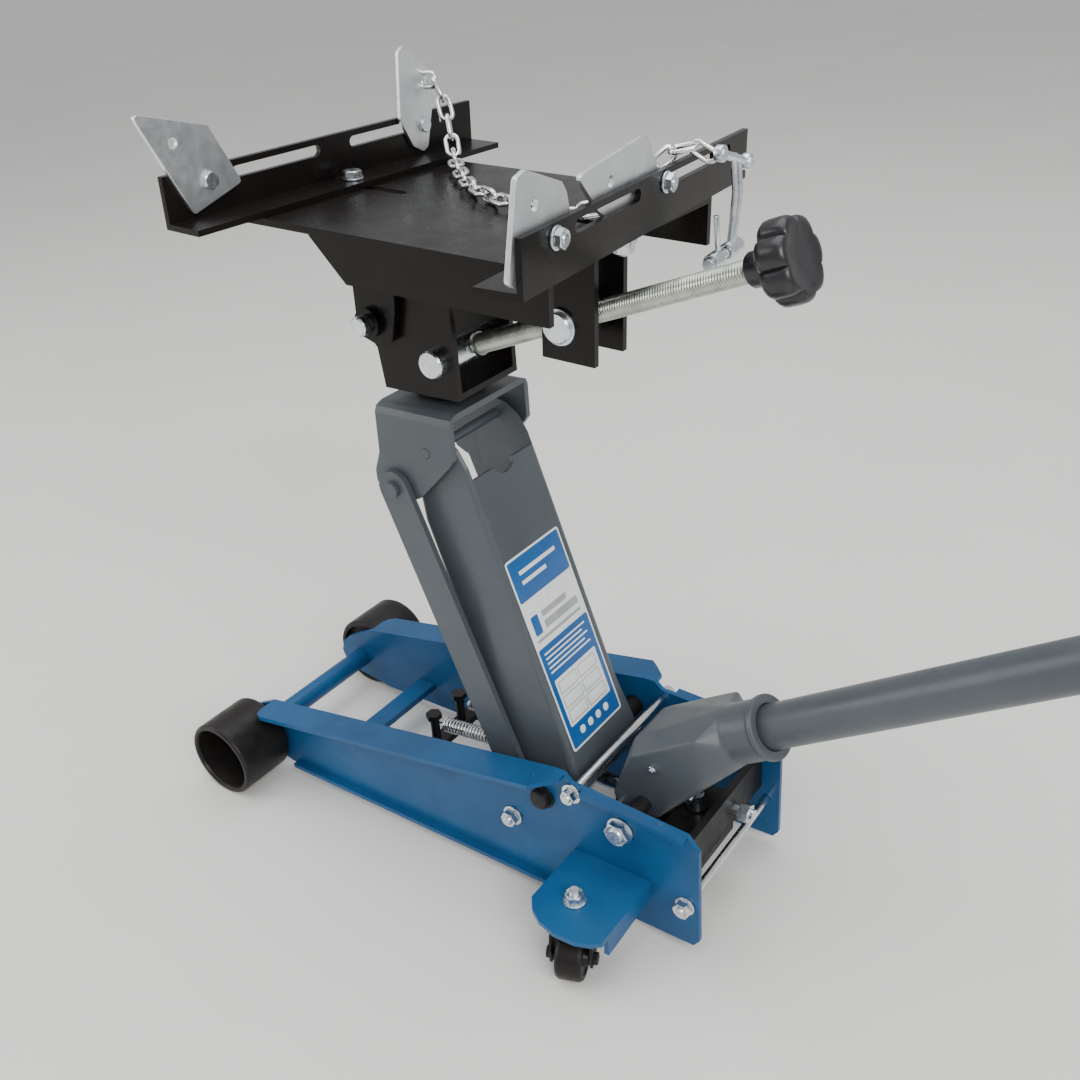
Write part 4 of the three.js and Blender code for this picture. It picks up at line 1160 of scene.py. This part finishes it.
def corner_plates():
    for name, (y, outline, hole) in CORNERS.items():
        bracket = BRACKETS[name.split("_")[0]]
        inward = bracket["inward"]
        wall = bracket["x"] + inward * 5
        turned = bracket_frame(bracket) @ Matrix.Translation(Vector((wall, y, SLOT_HEIGHT)))
        face = turned @ Matrix((Y, Z, X)).transposed().to_4x4()
        z0, z1 = sorted((inward * 0.3, inward * 4.3))
        bm = bmesh.new()
        slab(bm, face, fillet(outline, 4, 4), z0, z1, 0.5)
        plate = piece(f"corner_{name}", bm, f"corner_plate_{name}_body", "sheet",
                      [f"corner_plate_{name}"])
        drill = bmesh.new()
        spot = Matrix.Translation(Vector((hole[0], hole[1], 0)))
        lathe(drill, face @ spot, [(0, -9), (4.5, -9), (4.5, 9), (0, 9)], 32)
        carve(plate, drill)
        plate.data.shade_flat()
        bm = bmesh.new()
        outer = face @ Matrix.Rotation(pi if inward > 0 else 0, 4, "Y")
        turned_bar(bm, outer, 4, -7.2, 12, edge=0.5)
        ring_piece(bm, outer, 4.1, 8.5, 5.3, 7.2)
        hexagon(bm, outer, 6.5, 7.4, 13.2, bore=3.9)
        thread(bm, outer, 4, 8, 14.2, 1.25, 0.5)
        hexagon(bm, outer, 6.5, -8.3, -4.4)
        piece(f"corner_bolt_{name}", bm, f"corner_plate_{name}_body", "zinc")


# ------------------------------------------------------------------ chain and tensioner
CHAIN_ROUTE = [
    (216, 119, 742), (228, 117, 722), (236, 112, 698), (246, 102, 680), (264, 82, 676),
    (290, 56, 674), (337, 16, 672), (384, -4, 669.5), (430, -13, 667.5), (462, 0, 667),
    (478, 18, 671), (490, 36, 682), (499, 50, 697), (512, 62, 707), (526, 70, 705),
    (534, 74, 697),
]
LINK = {"length": 26, "width": 15.5, "wire": 2.1}


def smooth_route(points, samples=24):
    """Catmull-Rom points through a route."""
    route = [Vector(p) for p in points]
    route = [2 * route[0] - route[1]] + route + [2 * route[-1] - route[-2]]
    result = []
    for i in range(1, len(route) - 2):
        p0, p1, p2, p3 = route[i - 1:i + 3]
        for k in range(samples):
            t = k / samples
            result.append(0.5 * (
                2 * p1 + (p2 - p0) * t + (2 * p0 - 5 * p1 + 4 * p2 - p3) * t ** 2
                + (3 * p1 - p0 - 3 * p2 + p3) * t ** 3
            ))
    result.append(route[-2])
    return result


def link_points(centre, along, side, length, width, steps=10):
    """The centre line of one stadium-shaped link, in metres."""
    half = (width - 2 * LINK["wire"]) / 2
    straight = (length - 2 * LINK["wire"]) / 2 - half
    points = []
    for end in (1, -1):
        for k in range(steps + 1):
            turn = pi * k / steps
            u = end * (straight + half * sin(turn))
            v = end * half * cos(turn)
            points.append(centre + (along * u + side * v) / 1000)
    return points


def chain():
    route = smooth_route(CHAIN_ROUTE)
    lengths = [0.0]
    for first, second in zip(route, route[1:]):
        lengths.append(lengths[-1] + (second - first).length)

    def point_at(distance):
        for i in range(1, len(lengths)):
            if lengths[i] >= distance:
                share = (distance - lengths[i - 1]) / (lengths[i] - lengths[i - 1])
                return route[i - 1].lerp(route[i], share)
        return route[-1]

    pitch = LINK["length"] - 4.2 * LINK["wire"] + 0.6
    count = int(lengths[-1] / pitch)
    pitch = lengths[-1] / count
    halves = [bmesh.new(), bmesh.new()]
    side = Y.copy()
    for i in range(count):
        bm = halves[0 if i < count // 2 else 1]
        start, end = point_at(i * pitch), point_at((i + 1) * pitch)
        along = (end - start).normalized()
        side = (side - along * side.dot(along)).normalized()
        other = along.cross(side)
        lean = radians(45 + 8 * sin(i * 2.1)) * (1 if i % 2 else -1)
        across_link = cos(lean) * side + sin(lean) * other
        middle = at(*((start + end) / 2))
        sweep(bm, link_points(middle, along, across_link, LINK["length"], LINK["width"]),
              LINK["wire"], 8, closed=True)
    start, middle, end = (at(*point_at(share * lengths[-1])) for share in (0, 0.5, 1))
    front = free_piece("chain_front_half", halves[0], "steel", ["chain"])
    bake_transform(front)
    rear = free_piece("chain_rear_half", halves[1], "steel")
    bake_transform(rear)


def shackle():
    """The large link that ties the chain to the far front corner plate."""
    bracket = BRACKETS["front"]
    y, outline, hole = CORNERS["front_far"]
    place = bracket_frame(bracket) @ Vector((bracket["x"] + 7, y + hole[0], SLOT_HEIGHT + hole[1]))
    end = at(*CHAIN_ROUTE[0])
    along = (end - place).normalized()
    side = Z - along * Z.dot(along)
    side.normalize()
    centre = (place + end) / 2 + Vector((0, 0, 0.001))
    length = (end - place).length * 1000 + 9
    bm = bmesh.new()
    sweep(bm, link_points(centre, along, side, length, 17), 2.4, 8, closed=True)
    piece("chain_shackle", bm, "corner_plate_front_far_body", "steel", crease=80)


def strut(bm, start, end, r, edge=0.8):
    first, second = at(*start), at(*end)
    length = (second - first).length * 1000
    turned_bar(bm, local_frame(first, second - first), r, 0, length, edge, 24)


def tensioner():
    """The over-centre lever that pulls the chain tight, hanging on the rear bracket."""
    bm = bmesh.new()
    strut(bm, (547, 62, 703), (547, 108, 688), 3.4)
    sweep(bm, [at(547, 84, 699), at(548, 85, 668), at(547, 80, 636), at(547, 76, 622)], 2.6, 10)
    sweep(bm, [at(547, 92, 695), at(549, 92, 668), at(547, 87, 636), at(547, 83, 622)], 2.6, 10)
    barrel = local_frame(at(547, 45, 621), at(547, 93, 625) - at(547, 45, 621))
    ring_piece(bm, barrel, 4.2, 7.2, 0, 13, edge=1)
    ring_piece(bm, barrel, 4.2, 7.2, 27, 47, edge=1)
    turned_bar(bm, barrel, 4, -1.5, 49)
    hexagon(bm, barrel, 5, -4.5, -1)
    strut(bm, (547, 58, 622), (547, 55, 657), 2.4)
    for place in ((547, 62, 703), (547, 108, 688)):
        eye = local_frame(at(*place), X, Z)
        ring_piece(bm, eye, 3, 6.6, -3.4, 3.4, edge=0.9)
        hexagon(bm, eye, 3.9, -4.6, 4.6)
    piece("chain_lever", bm, "rear_bracket_body", "zinc", ["chain_tensioner"])


# ------------------------------------------------------------------ floor
def floor():
    bm = bmesh.new()
    size = 40
    corners = [(-size, -size), (size, -size), (size, size), (-size, size)]
    bm.faces.new([bm.verts.new((x, y, 0)) for x, y in corners])
    material, tree, shader = new_material("studio_floor")
    tone = ramp(tree, noise(tree, 2, 3), [(0.3, (0.76, 0.745, 0.72)), (0.7, (0.8, 0.785, 0.76))])
    tree.links.new(tone, shader.inputs["Base Color"])
    shader.inputs["Roughness"].default_value = 0.55
    obj = solid("studio_floor", bm)
    obj.data.materials.append(material)


chassis_rods()
arm_and_link_pivots()
front_axle()
front_wheels()
casters()
springs()
lift_arm()
handle_yoke()
handle()
head_and_adapter()
screw_and_knob()
bracket_bolts()
corner_plates()
chain()
shackle()
tensioner()
floor()
